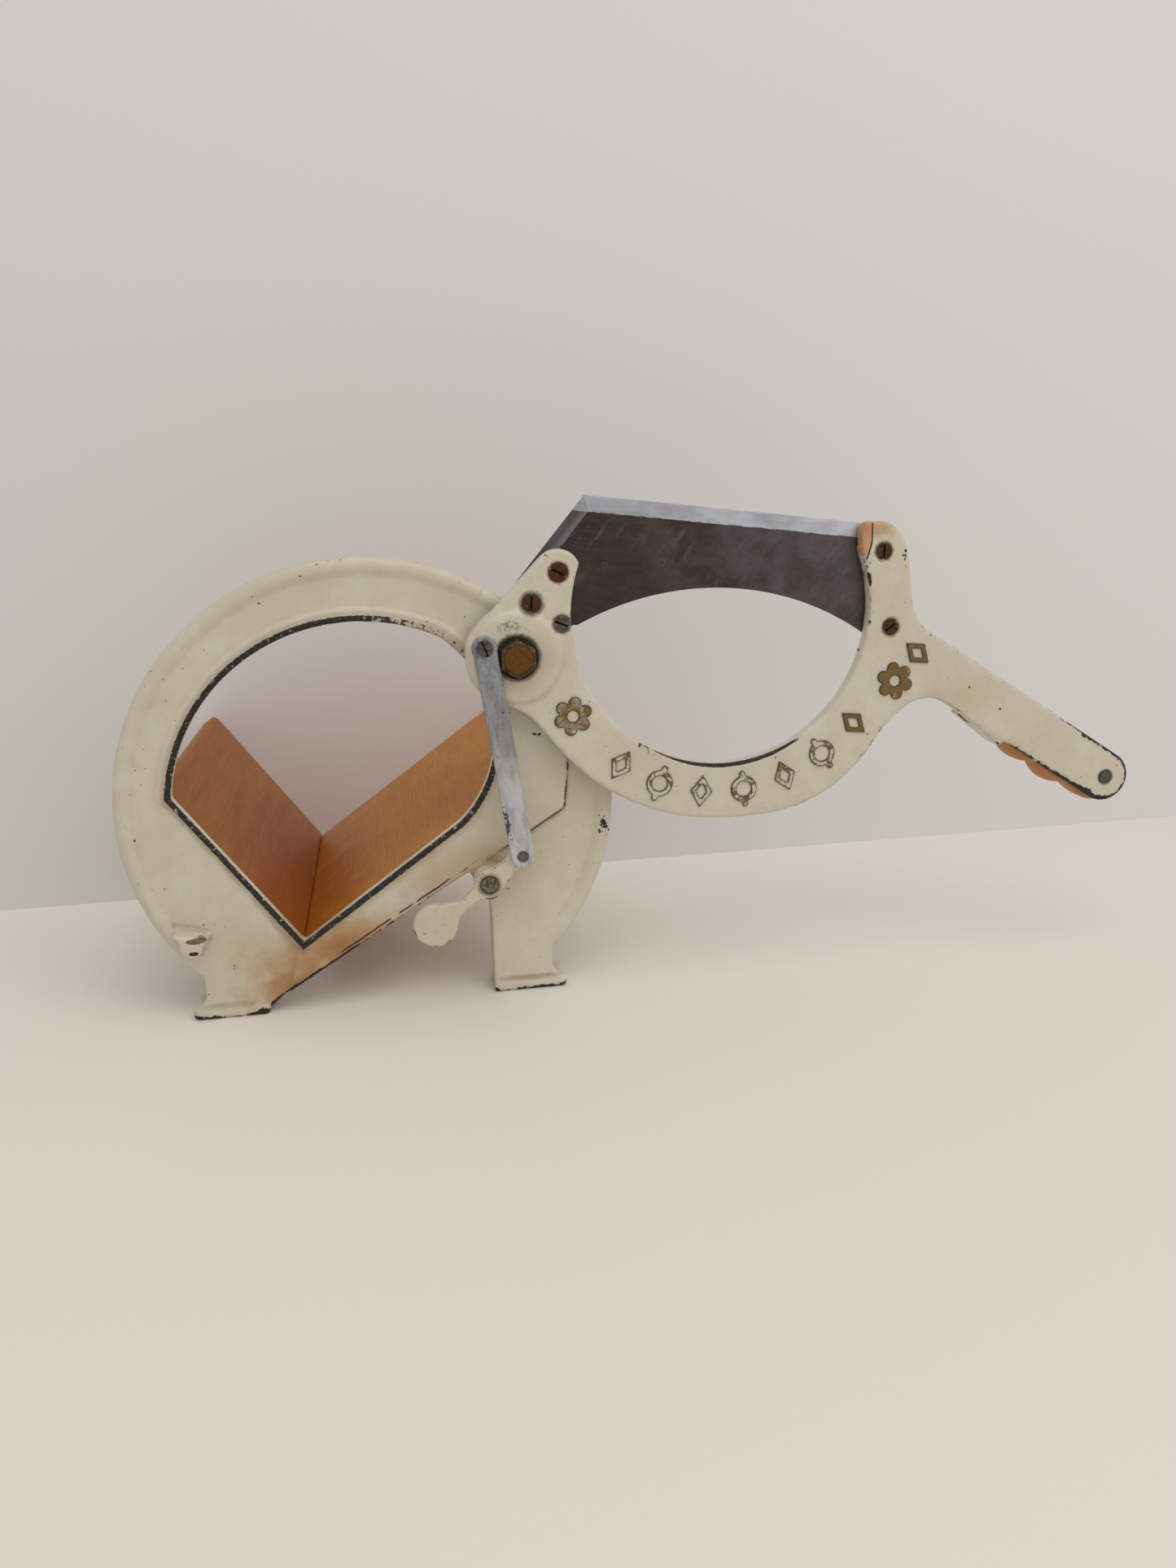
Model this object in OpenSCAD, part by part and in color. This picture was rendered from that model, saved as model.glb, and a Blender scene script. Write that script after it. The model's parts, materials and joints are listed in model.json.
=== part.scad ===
// Lever bread slicer with a V trough, a swinging ring arm and a linked bread stop.
// Millimetres, +Z up. The working coordinates have x = 0 midway between the front feet,
// y = 0 in the plane that the blade rubs on (+Y away from the user) and z = 0 on the table.
// seat() moves them so that the origin is under the middle of the whole open machine.

/* [Frame casting] */
// radius of the round frame
frame_r = 124.8; // [110:0.1:140]
// height of the frame's centre above the table
frame_z = 107.5; // [95:0.5:120]
// depth of the casting from the blade plane to its back edge
cast_d = 16; // [12:0.5:22]
// thickness of the face plate
web_t = 5; // [3:0.5:8]
// how far the face lies behind the blade plane
recess = 2.2; // [1:0.1:4]
// width of the rounded rim
rim_w = 9; // [6:0.5:14]
// thickness of the side walls behind the face
wall_t = 3.6; // [2.5:0.1:6]
// height of the foot flanges
foot_t = 5.5; // [3:0.5:9]
// depth of the front feet
foot_d = 23; // [16:1:40]

/* [Bread opening] */
// centre of the opening's main arc
open_c = [-2, 106]; // [-150:0.5:150]
// radius of the opening's main arc
open_r = 95.2; // [80:0.1:105]
// centre of the arc beside the pivot
side_c = [2, 142]; // [-150:0.5:180]
// radius of the arc beside the pivot
side_r = 62.2; // [50:0.1:80]
// lowest point of the opening
vee = [-38.9, 38.4]; // [-80:0.1:80]
// slope of the left side of the V
vee_left = 54.5; // [45:0.1:65]
// slope of the right side of the V
vee_right = 34.9; // [25:0.1:45]
// width of the rubbed lip
lip_w = 3; // [2:0.1:5]
// slope of the lower edge of the diagonal bar
bar_slope = 31; // [25:0.1:40]

/* [Trough] */
// thickness of the boards
board_t = 9; // [6:0.5:14]
// length of the boards behind the face plate
board_len = 195.8; // [140:0.2:240]
// height of the left board along its slope
left_h = 106.7; // [80:0.5:130]
// height of the right board along its slope
right_h = 152; // [120:0.5:180]
// how far the boards lie below the lip
board_drop = 1.2; // [0.5:0.1:4]
// thickness of the bed's rails and plates
bed_t = 4; // [3:0.5:7]

/* [Arm] */
// main pivot
pivot = [76.2, 181.3]; // [0:0.1:250]
// front face of the arm, measured from the blade plane
arm_front = 11; // [8:0.1:15]
// gap between the blade and the lip
blade_gap = 0.3; // [0.2:0.05:0.6]
// thickness of the blade
blade_t = 2.5; // [1.5:0.1:4]
// radius of the arm's hub
hub_r = 25.3; // [20:0.1:32]
// radius of the raised boss on the hub
boss_r = 22.4; // [16:0.1:25]
// centre of the ring's hole
ring_c = [181.4, 198.4]; // [100:0.1:260]
// radius of the ring's hole
ring_r = 77.5; // [60:0.1:90]
// swing from open to closed, in degrees
swing = 215.8; // [180:0.1:220]
// centre of the handle's round end
grip_end = [398.5, 98.6]; // [50:0.1:450]
// half the width of the handle
grip_r = 13.6; // [10:0.1:18]
// slope of the handle, downwards
grip_slope = 33.2; // [20:0.1:45]

/* [Link and bread stop] */
// screw that carries the link's upper end
link_top = [60.2, 187.1]; // [0:0.1:250]
// rivet at the link's lower end
link_low = [74.4, 80.5]; // [0:0.1:150]
// width of the link
link_w = 11.8; // [8:0.1:16]
// thickness of the link
link_t = 2.5; // [1.5:0.1:4]
// spindle of the stop lever
stop_c = [56.9, 65.7]; // [0:0.1:120]
// centre of the round pad at the lever's end
disc_c = [28.4, 46]; // [0:0.1:100]
// radius of the round pad
disc_r = 11.5; // [8:0.1:16]
// thickness of the lever
lever_t = 4.4; // [3:0.1:7]

/* [Fasteners] */
// radius of the pivot bolt's shank
bolt_r = 5; // [4:0.1:7]
// width across the flats of the pivot bolt's head
bolt_af = 16.5; // [14:0.1:19]
// radius of the hardened bush the arm turns on
bush_r = 7.5; // [6:0.1:10]
// radial play in the running fits
play = 0.03; // [0.01:0.01:0.1]
// radius of the large screw heads
head_r = 4.7; // [3.5:0.1:6]
// radius of the screw shanks
shank_r = 2.45; // [1.5:0.05:3]

/* [Hidden] */
$fn = 96;
eps = 0.01;
blade_back = -blade_gap;
blade_front = blade_back - blade_t;
hub_front = -arm_front - 2;
washer_front = hub_front - 1;
link_back = washer_front - 0.3;
link_front = link_back - link_t;
bolt_head_t = 6.2;
front_y = washer_front - bolt_head_t;
lip_d = recess + web_t;
back_y = lip_d + board_len;
bed_len = back_y - cast_d;
seat_x = (grip_end[0] + grip_r - frame_r)/2;
seat_y = (front_y + back_y)/2;
board_apex = vee - [0, board_drop];
cream = [0.90, 0.87, 0.76];
steel = [0.62, 0.64, 0.67];
dark_steel = [0.27, 0.25, 0.24];
rust = [0.36, 0.22, 0.14];
wood = [0.72, 0.40, 0.18];
ochre = [0.55, 0.40, 0.10];

// arm screws: position, head radius, angle of the slot
blade_screws = [[[98.2, 221.7], head_r, -27], [[84.4, 207.2], head_r, 86],
                [[99.1, 196.6], 4.2, -22], [[265.6, 225.7], 4.2, 88],
                [[270.5, 187.1], 4.2, 34]];
// blind bosses that take the bed bolts
bed_bolts = [[40.5, 72.6], [-90.7, 80.2], [-55, 22]];

// ---------- helpers ----------

// moves the working coordinates to the origin under the middle of the machine
module seat() { translate([-seat_x, -seat_y, 0]) children(); }

// a flat outline drawn in x and z, from depth y0 to depth y1
module slab(y0, y1) { translate([0, y1, 0]) rotate([90, 0, 0]) linear_extrude(height = y1 - y0) children(); }

// a round bar along Y at p, from y0 to y1
module rod(p, y0, y1, r) { translate([p[0], y1, p[1]]) rotate([90, 0, 0]) cylinder(h = y1 - y0, r = r); }

// a cone along Y at p: radius r0 at depth y0 and r1 at depth y1
module taper(p, y0, y1, r0, r1) { translate([p[0], y1, p[1]]) rotate([90, 0, 0]) cylinder(h = y1 - y0, r1 = r1, r2 = r0); }

// local axes along a slope through p: x up the slope, y as before, z square to it
module slope(p, angle) { translate([p[0], 0, p[1]]) rotate([0, -angle, 0]) children(); }

function unit(a) = [cos(a), sin(a)];

// one stretch between two knots [x, z, heading], as n points on a cubic
function stretch(a, b, n) =
    let (d = norm([b[0] - a[0], b[1] - a[1]]) * 0.36,
         p = [a[0], a[1]] + d * unit(a[2]), q = [b[0], b[1]] - d * unit(b[2]))
    [for (i = [0:n - 1]) let (t = i/n, s = 1 - t)
        s*s*s*[a[0], a[1]] + 3*s*s*t*p + 3*s*t*t*q + t*t*t*[b[0], b[1]]];

// a smooth line through knots [x, z, heading]
function smooth(knots, n = 6) =
    [for (i = [0:len(knots) - 2]) for (p = stretch(knots[i], knots[i + 1], n)) p];

// the frame's round outline, its feet and the space below the diagonal bar
function bar_z(x) = 17.4 + (x + 38.2)*tan(bar_slope);

module foot2d(outer, inner, side) {
    x_leg = outer - side*7.2;
    polygon([[inner, 0], [outer - side*2, 0], [outer, 1.4], [outer, foot_t - 1], [outer - side*2, foot_t],
             [x_leg, foot_t], [x_leg, 34], [inner, 34]]);
    difference() {
        polygon([[x_leg - side, foot_t], [outer - side*0.6, foot_t], [outer - side*0.6, foot_t + 0.6],
                 [x_leg, foot_t + 8], [x_leg - side, foot_t + 8]]);
        translate([x_leg + side*8, foot_t + 8]) circle(8);
    }
}

module silhouette2d() {
    difference() {
        union() {
            translate([0, frame_z]) circle(frame_r);
            foot2d(-97.8, -60, -1);
            foot2d(97.2, 58.2, 1);
        }
        polygon([[-60, -1], [-60, 1], [-58.6, 3], [-52, bar_z(-52)], [57.4, bar_z(57.4)], [57.4, 52], [58.2, 44], [58.2, -1]]);
        // what the circle leaves outside the legs, under the flanges' roots
        polygon([[-90.6, 26], [-90.6, -30], [-140, -30], [-140, 18], [-92.4, 24]]);
        polygon([[90, 26], [90, -30], [140, -30], [140, 18], [92, 24]]);
        translate([-60, -40]) square([119, 40]);
        translate([-140, -40]) square([280, 40]);
    }
    foot2d(-97.8, -60, -1);
    foot2d(97.2, 58.2, 1);
}

// the bread opening, grown by g on every side
module opening2d(g = 0) {
    c = vee;
    left = unit(180 - vee_left);
    right = unit(vee_right);
    low = c + g*(-unit(vee_right + 90) + unit(90 + 180 - vee_left))*0.99;
    intersection() {
        translate(open_c) circle(open_r + g);
        polygon([low, low + 260*right, low + 260*right + 200*left, low + 200*left]);
        union() {
            translate(side_c) circle(side_r + g);
            // all that lies on the V's side of the line from the arc's centre to where it meets the V
            polygon([side_c, side_c + 100*unit(vee_right - 90), [-200, -100], [-200, 320], [side_c[0], 320]]);
        }
    }
}

module rim() {
    // round nose on the front, walls behind
    translate([0, 0, frame_z]) rotate([-90, 0, 0]) rotate_extrude() {
        translate([frame_r - rim_w/2, rim_w/2 + 0.4]) circle(rim_w/2);
        translate([frame_r - wall_t, rim_w/2 + 0.4]) square([wall_t, cast_d - rim_w/2 - 0.4]);
        translate([frame_r - rim_w, rim_w/2 + 0.4]) square([rim_w, recess + web_t - rim_w/2 - 0.4]);
    }
}

module side_walls() {
    slab(recess, cast_d) {
        polygon([[-52, bar_z(-52)], [57.4, bar_z(57.4)], [57.4, bar_z(57.4) + wall_t + 1], [-52, bar_z(-52) + wall_t + 1]]);
        translate([58.2, 3]) square([wall_t, bar_z(58.2)]);
        translate([-63.6, 3]) square([wall_t, 10]);
        translate([90 - wall_t, 4]) square([wall_t, 22]);
        translate([-90.6, 4]) square([wall_t, 22]);
    }
}

module rub_pad() {
    slab(0, recess + 1) difference() {
        polygon(concat([[-50, bar_z(-50)], [97.4, bar_z(97.4)]],
                       smooth([[98.6, 103, 82], [101.2, 127, 87], [99, 154, 100], [88, 176, 130], [62, 186, 180]], 4),
                       [[50, 170], [-60, 62]]));
        opening2d(lip_w - 0.2);
        polygon([[-120, 180], [-120, 20], [-50, 8], [-42, 34], [-60, 62], [-60, 180]]);
    }
}

// lug that the ring's edge comes down on when the arm is closed
module stop_lug() {
    color(cream) seat() difference() {
        slab(-arm_front + 1.5, recess) lug2d();
        slab(0.2, recess + 1) difference() {
            translate([0, frame_z]) circle(frame_r + 10);
            translate([0, frame_z]) circle(frame_r - rim_w - 0.1);
        }
    }
}

module lug2d() {
    difference() {
        union() {
            translate([-93.4, 43.4]) circle(5.8);
            polygon([[-101.9, 51.3], [-102.3, 49.4], [-97, 45.4], [-89, 44.4], [-84.8, 45.4], [-85.2, 47.3]]);
        }
        polygon([[-104, 52.9], [-83, 46.9], [-83, 60], [-104, 60]]);
    }
}

module frame_casting() {
    color(cream) seat() difference() {
        union() {
            slab(recess, recess + web_t) difference() { silhouette2d(); opening2d(lip_w/2); }
            difference() {
                intersection() { rim(); slab(-1, cast_d) silhouette2d(); }
                // the nose runs out into the face above the feet
                rotate([90, 0, 90]) linear_extrude(height = 400, center = true)
                    polygon([[-2, -5], [recess, -5], [recess, 23], [0.4, 45], [-2, 45]]);
            }
            slab(0, lip_d) difference() { opening2d(lip_w); opening2d(); }
            slab(0.9, recess + 1) difference() {
                opening2d(lip_w + 3.3);
                opening2d(lip_w/2);
                translate([-140, -10]) square([280, 128]);
            }
            rub_pad();
            side_walls();
            slab(0.6, foot_d) {
                polygon([[-60, 0], [-95.8, 0], [-97.8, 1.4], [-97.8, foot_t - 1], [-95.8, foot_t], [-62, foot_t], [-60, 2]]);
                polygon([[58.2, 0], [95.2, 0], [97.2, 1.4], [97.2, foot_t - 1], [95.2, foot_t], [58.2, foot_t]]);
            }
            // pivot boss, spindle boss and blind bosses for the bed
            rod(pivot, blade_back - 2.2, cast_d, 15);
            rod(pivot, recess, cast_d, 22);
            rod(stop_c, blade_back, cast_d, 7.4);
            for (p = bed_bolts) rod(p, recess, cast_d, 6.6);
        }
        slab(-1, cast_d + 1) opening2d();
        rod(pivot, -20, 40, bolt_r + play);
        rod(stop_c, -20, 40, 4.4 + play);
        rod(pivot + 11.8*unit(200), -20, 6, 1.8);
        for (p = bed_bolts) rod(p, 6, 40, 3);
    }
}

// ---------- trough ----------

// a board's plan: height up the slope and length backwards, its back top corner rounded
module board2d(h) {
    r = 7;
    translate([0.15, 0]) square([h - r - 0.15, board_len]);
    translate([h - r - eps, 0]) square([r + eps, board_len - r]);
    translate([h - r, board_len - r]) circle(r);
}

// screw holes of a board: up the slope and back from the casting
left_screws = [[45, 22], [45, 160]];
right_screws = [[62, 22], [62, 160]];

module board_left() {
    color(wood) seat() slope(board_apex, 180 - vee_left) translate([0, lip_d, 0]) difference() {
        linear_extrude(height = board_t) board2d(left_h);
        for (s = left_screws) translate([s[0], s[1] + cast_d - lip_d, board_t - 6]) cylinder(h = 10, r = 1.95);
    }
}

module board_right() {
    color(wood) seat() slope(board_apex, vee_right) translate([0, lip_d, -board_t]) difference() {
        union() {
            linear_extrude(height = board_t) board2d(right_h);
            translate([-board_t, 0, 0]) cube([board_t + 1, board_len, board_t - 0.15]);
        }
        for (s = right_screws) translate([s[0], s[1] + cast_d - lip_d, -4]) cylinder(h = 10, r = 1.95);
    }
}

module board_screw() {
    // dome head under the rail, shank up into the board
    translate([0, 0, -2.4]) difference() {
        union() {
            cylinder(h = 2.4, r = 4);
            cylinder(h = 2.4 + bed_t + 5.8, r = 1.9);
        }
        translate([-5, -0.6, -1]) cube([10, 1.2, 2]);
    }
}

module left_screw(i) {
    color(steel) seat() slope(board_apex, 180 - vee_left)
        translate([left_screws[i][0], cast_d + left_screws[i][1], board_t + bed_t]) rotate([180, 0, 0]) board_screw();
}

module right_screw(i) {
    color(steel) seat() slope(board_apex, vee_right)
        translate([right_screws[i][0], cast_d + right_screws[i][1], -board_t - bed_t]) board_screw();
}

module board_screw_lf() { left_screw(0); }
module board_screw_lr() { left_screw(1); }
module board_screw_rf() { right_screw(0); }
module board_screw_rr() { right_screw(1); }

// V bands that carry the boards, drawn in x and z
module yoke2d(left_reach, right_reach, depth) {
    for (side = [[180 - vee_left, left_reach, board_t], [vee_right, right_reach, -board_t - depth]])
        translate(board_apex) rotate(side[0]) translate([side[0] > 90 ? -1 : -board_t, side[2]])
            square([side[1] + board_t, depth]);
}

module bed_casting() {
    color(cream) seat() difference() {
        union() {
            // front flange, bolted to the back of the frame
            slab(cast_d, cast_d + bed_t + 0.5) {
                yoke2d(84, 108, 12);
                for (p = bed_bolts) translate(p) circle(7.2);
                polygon([[-62, 16], [-48, 16], [-26, 27], [-40, 24.4], [-70, 52], [-76, 48]]);
            }
            // keel under the V
            slab(cast_d, back_y - 14) polygon([[-43.5, 12], [-38.5, 12], [-37.5, 25], [-43.5, 23]]);
            // rear yoke with its leg and foot
            slab(back_y - 18, back_y - 12) {
                yoke2d(70, 92, 15);
                polygon([[-70, 4], [-8, 4], [-22, 30], [-41, 24], [-60, 38]]);
            }
            slab(back_y - 26, back_y - 4) polygon([[-74, 0], [-4, 0], [-2.5, 1.5], [-2.5, 4], [-4, foot_t],
                                                   [-74, foot_t], [-75.5, 4], [-75.5, 1.5]]);
            slab(back_y - 24, back_y - 6) polygon([[-43.5, 3], [-38.5, 3], [-38.5, 24], [-43.5, 24]]);
            // rails under the boards
            slope(board_apex, 180 - vee_left) translate([32, cast_d, board_t]) cube([26, bed_len - 13, bed_t]);
            slope(board_apex, vee_right) translate([46, cast_d, -board_t - bed_t]) cube([32, bed_len - 13, bed_t]);
        }
        for (p = bed_bolts) rod(p, 0, 60, 3.2);
        rod(stop_c, cast_d - 1, cast_d + 12, 9.5);
        slope(board_apex, 180 - vee_left) for (s = left_screws) translate([s[0], cast_d + s[1], 0]) cylinder(h = 30, r = 2);
        slope(board_apex, vee_right) for (s = right_screws) translate([s[0], cast_d + s[1], -30]) cylinder(h = 30, r = 2);
    }
}

module bed_bolt(p) {
    color(steel) seat() {
        y = cast_d + bed_t + 0.5;
        rod(p, 7, y + 1, 2.95);
        rod(p, y, y + 0.8, 5.6);
        translate([p[0], y + 5, p[1]]) rotate([90, 0, 0]) linear_extrude(height = 4.4)
            polygon([for (i = [0:5]) 5.77*unit(60*i)]);
    }
}

module bed_bolt_right() { bed_bolt(bed_bolts[0]); }
module bed_bolt_left() { bed_bolt(bed_bolts[1]); }
module bed_bolt_low() { bed_bolt(bed_bolts[2]); }

// ---------- pivot ----------

module pivot_bolt() {
    corner = bolt_af/2/cos(30);
    color(ochre) seat() {
        intersection() {
            slab(front_y, washer_front) translate(pivot) polygon([for (i = [0:5]) corner*unit(60*i + 30)]);
            union() {
                taper(pivot, front_y, front_y + 1.6, 7.1, corner + 0.1);
                rod(pivot, front_y + 1.6 - eps, washer_front, corner + 0.1);
            }
        }
        rod(pivot, washer_front - eps, cast_d + 9, bolt_r);
    }
}

module pivot_bush() {
    color(steel) seat() difference() {
        rod(pivot, hub_front - 0.3, blade_back - 2.2, bush_r);
        rod(pivot, -30, 30, bolt_r + play);
    }
}

module pivot_washer() {
    color(dark_steel) seat() difference() {
        rod(pivot, washer_front, hub_front - 0.3, 10.4);
        rod(pivot, -30, 30, bolt_r + play);
    }
}

module pivot_nut() {
    color(steel) seat() difference() {
        slab(cast_d, cast_d + 7) translate(pivot) polygon([for (i = [0:5]) 9.8*unit(60*i + 30)]);
        rod(pivot, 0, 60, bolt_r + play);
    }
}

// pin that runs in the groove behind the hub and stops the arm when it is open
module open_stop_pin() {
    color(steel) seat() rod(pivot + 11.8*unit(200), blade_back - 6, 6, 1.8);
}

// ---------- arm ----------

module arm2d() {
    top_of_handle = grip_end + 118*unit(180 - grip_slope) + grip_r*unit(90 - grip_slope);
    difference() {
        union() {
            polygon(concat(
                smooth([[70, 157, -20], [84, 148.4, -50], [101, 127.4, -46], [134.3, 102.4, -26], [186, 91, 0],
                        [231.5, 98.4, 25], [258.2, 119.5, 50], [270.2, 135.4, 46], [292.6, 148.3, 0],
                        [306.4, 143, -33.2]], 5),
                [grip_end - grip_r*unit(90 - grip_slope), grip_end],
                [grip_end + grip_r*unit(90 - grip_slope)],
                smooth([[top_of_handle[0], top_of_handle[1], 146.8], [283.4, 196, 103], [279.6, 222, 100],
                        [271.4, 238, 140], [262, 240.6, 180], [254.6, 239.6, 225]], 5),
                [[253.6, 236], [254, 228], ring_c, [110, 222]],
                [pivot + [0, 8]]));
            translate(pivot) circle(hub_r);
            translate(link_top) circle(8.9);
            translate(blade_screws[0][0]) circle(11.3);
            polygon([blade_screws[0][0] + 11.3*unit(137), link_top + 8.9*unit(137), pivot, [109.4, 196], [109.5, 221.7]]);
            translate(grip_end) circle(grip_r);
        }
        translate(ring_c) circle(ring_r);
    }
}

module countersink(s) {
    rod(s[0], -arm_front - 1, -arm_front + 0.1, s[1] + 0.05);
    taper(s[0], -arm_front + 0.1 - eps, -arm_front + 2.5, s[1] + 0.05, shank_r + 0.05);
    rod(s[0], -arm_front, 1, shank_r + 0.05);
}

module arm_casting() {
    root = 64;
    color(cream) seat() difference() {
        union() {
            slab(-arm_front, blade_front) difference() {
                arm2d();
                translate(grip_end) rotate(-grip_slope) translate([-root, -25]) square([90, 50]);
            }
            // front cheek of the handle
            slab(-arm_front - 1, -arm_front + 3) intersection() {
                arm2d();
                translate(grip_end) rotate(-grip_slope) translate([-root - 24, -25]) square([110, 50]);
            }
            // deep root that the wooden grip butts against
            slab(-arm_front, 6) translate(grip_end) rotate(-grip_slope)
                polygon([[-92, -14], [-root, -17], [-root, 12.6], [-92, 12.6]]);
            rod(pivot, hub_front, blade_front, boss_r);
            rod(pivot, -arm_front, blade_front, hub_r);
            rod(link_top, washer_front, -arm_front + 1, 6.3);
        }
        rod(pivot, -40, 20, bush_r + play);
        rod(link_top, -40, -5, 2.5);
        for (s = blade_screws) countersink(s);
        rod(grip_end, -40, 20, 2.55);
        // groove for the open stop
        translate([pivot[0], 0, pivot[1]]) rotate([90, 0, 0]) rotate([0, 0, 200 - swing - 14])
            rotate_extrude(angle = swing + 24.6) translate([9.6, -blade_front - 1]) square([4.4, 5.2]);
    }
}

// raised decoration: rosettes at the ends, lozenges and rings between them
module rosette2d() {
    difference() {
        union() {
            circle(6);
            for (i = [0:5]) translate(6.7*unit(60*i)) circle(3.3);
        }
        circle(2.9);
    }
}

module lozenge2d() {
    difference() {
        polygon([[8.6, 0], [0, 6], [-8.6, 0], [0, -6]]);
        polygon([[4.2, 0], [0, 2.8], [-4.2, 0], [0, -2.8]]);
    }
}

module ringlet2d() {
    difference() { circle(7); circle(4); }
    for (s = [-1, 1]) translate([8*s, 0]) circle(1.7);
}

module arm_ornaments() {
    mid_r = 92.5;
    color(ochre) seat() slab(-arm_front - 0.9, -arm_front) translate(ring_c) {
        for (i = [0:6]) rotate(234 + i*14.2) translate([mid_r, 0]) {
            if (i % 2 == 0) lozenge2d(); else ringlet2d();
        }
        translate([103.1, 150.3] - ring_c) rotate(20) rosette2d();
        translate([273.6, 158.9] - ring_c) rotate(40) rosette2d();
        translate([285.6, 172.8] - ring_c) rotate(-41) lozenge2d();
    }
}

module blade2d() {
    difference() {
        polygon([[113.6, 257.9], [76.5, 215], [74.6, 211], [76.6, 203.6], [97.5, 189.3], [106, 195],
                 [180, 190], [262, 180], [273, 180.4], [277.6, 188], [277.4, 216], [270.6, 236.6], [262, 239.3]]);
        translate([174.2, 62.4]) circle(148);
        for (s = blade_screws) translate(s[0]) circle(shank_r + 0.05);
    }
}

// grinds the front of an edge that starts at p and runs along angle a
module ground_edge(p, a, len, w) {
    slope(p, a) translate([-3, 0, 0]) rotate([90, 0, 90]) linear_extrude(height = len)
        polygon([[blade_front, -w], [blade_back - 0.5, 0.2], [blade_front - 3, 0.2 + w], [blade_front - 3, -w]]);
}

module blade() {
    top_a = -7.05;
    short_a = 49.2;
    color(dark_steel) seat() difference() {
        slab(blade_front, blade_back) blade2d();
        ground_edge([113.6, 257.9], top_a, 150, 7.7);
        ground_edge([113.6, 257.9] - 60*unit(short_a), short_a, 66, 6.4);
    }
}

module blade_screw(s) {
    color(rust) seat() difference() {
        union() {
            taper(s[0], -arm_front + 0.1, -arm_front + 2.4, s[1], shank_r);
            rod(s[0], -arm_front + 2.4 - eps, blade_back - 0.3, shank_r);
        }
        translate([s[0][0], -arm_front, s[0][1]]) rotate([0, -s[2], 0]) cube([12, 2.4, 1.2], center = true);
    }
}

module blade_screw_a() { blade_screw(blade_screws[0]); }
module blade_screw_b() { blade_screw(blade_screws[1]); }
module blade_screw_c() { blade_screw(blade_screws[2]); }
module blade_screw_d() { blade_screw(blade_screws[3]); }
module blade_screw_e() { blade_screw(blade_screws[4]); }

// wooden grip behind the cheek, with three finger swells below
module grip() {
    color(wood) seat() difference() {
        slab(-arm_front + 3, 8) translate(grip_end) rotate(-grip_slope)
            polygon(concat(
                smooth([[-63.8, -12.5, -70], [-52, -18.3, 0], [-43, -14.2, 30], [-28.5, -18.2, 0], [-17, -13.6, 30],
                        [-6, -16.4, 0], [8.6, -9.6, 60], [12.6, 0, 90], [8, 8.6, 135], [-2, 12, 180],
                        [-63.8, 12, 180]], 5),
                [[-63.8, 12]]));
        rod(grip_end, -40, 20, 2.55);
    }
}

module grip_rivet() {
    color(dark_steel) seat() {
        rod(grip_end, -arm_front - 1.8, 9, 2.5);
        rod(grip_end, -arm_front - 1.8, -arm_front - 1, 3.6);
        rod(grip_end, 8, 9.2, 4.2);
    }
}

// ---------- link and bread stop ----------

module link() {
    d = link_low - link_top;
    a = atan2(d[1], d[0]);
    color(steel) seat() slab(link_front, link_back) difference() {
        union() {
            translate(link_top) circle(link_w/2 + 0.5);
            translate(link_low) circle(link_w/2);
            translate(link_top) rotate(a) translate([0, -link_w/2]) square([norm(d), link_w]);
        }
        translate(link_top) circle(3 + play);
        translate(link_low) circle(2.4);
    }
}

module link_screw() {
    color(dark_steel) seat() difference() {
        union() {
            rod(link_top, link_front - 1.9, link_front - 0.3, 4);
            rod(link_top, link_front - 0.3 - eps, washer_front, 3);
            rod(link_top, washer_front - eps, -arm_front + 5.5, 2.45);
        }
        translate([link_top[0], link_front - 1.9, link_top[1]]) rotate([0, 70, 0]) cube([10, 1.8, 1], center = true);
    }
}

module link_rivet() {
    color(dark_steel) seat() {
        rod(link_low, link_front - 0.7, link_back, 2.38);
        rod(link_low, link_front - 0.7, link_front, 2.8);
    }
}

module stop_lever() {
    y0 = washer_front;
    color(cream) seat() difference() {
        union() {
            slab(y0, y0 + lever_t) {
                translate(disc_c) circle(disc_r);
                translate(link_low) circle(6.3);
                translate(stop_c) circle(7.9);
                // S-curved neck from the pad to the spindle and the ear
                polygon(concat(
                    smooth([[37.4, 40.6, 60], [43.6, 52, 36], [53, 58.6, 28], [60, 60, 20]], 4),
                    smooth([[66, 66, 50], [72, 73, 40], [79.6, 77, 40]], 4),
                    smooth([[71.4, 86, 215], [63, 76.4, 205], [54, 73, 200], [49.4, 65.6, 235], [42, 58.8, 208],
                            [30, 57.4, 190]], 4)));
            }
            rod(stop_c, y0, blade_back - 0.3, 7.4);
        }
        rod(stop_c, -40, 20, 4.4 + 0.02);
        rod(link_low, -40, 20, 2.4);
    }
}

module stop_spindle() {
    color(dark_steel) seat() rod(stop_c, washer_front - 0.2, cast_d + 7, 4.4);
}

module stop_collar() {
    color(steel) seat() difference() {
        rod(stop_c, cast_d + 0.3, cast_d + 6.5, 8);
        rod(stop_c, 0, 60, 4.4 + 0.02);
        translate([stop_c[0], cast_d + 3.4, stop_c[1] - 20]) cylinder(h = 16, r = 1.5);
    }
}

module collar_screw() {
    color(dark_steel) seat() translate([stop_c[0], cast_d + 3.4, stop_c[1]]) difference() {
        translate([0, 0, -7.8]) cylinder(h = 3.3, r = 1.45);
        translate([-3, -0.3, -9]) cube([6, 0.6, 2]);
    }
}

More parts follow.
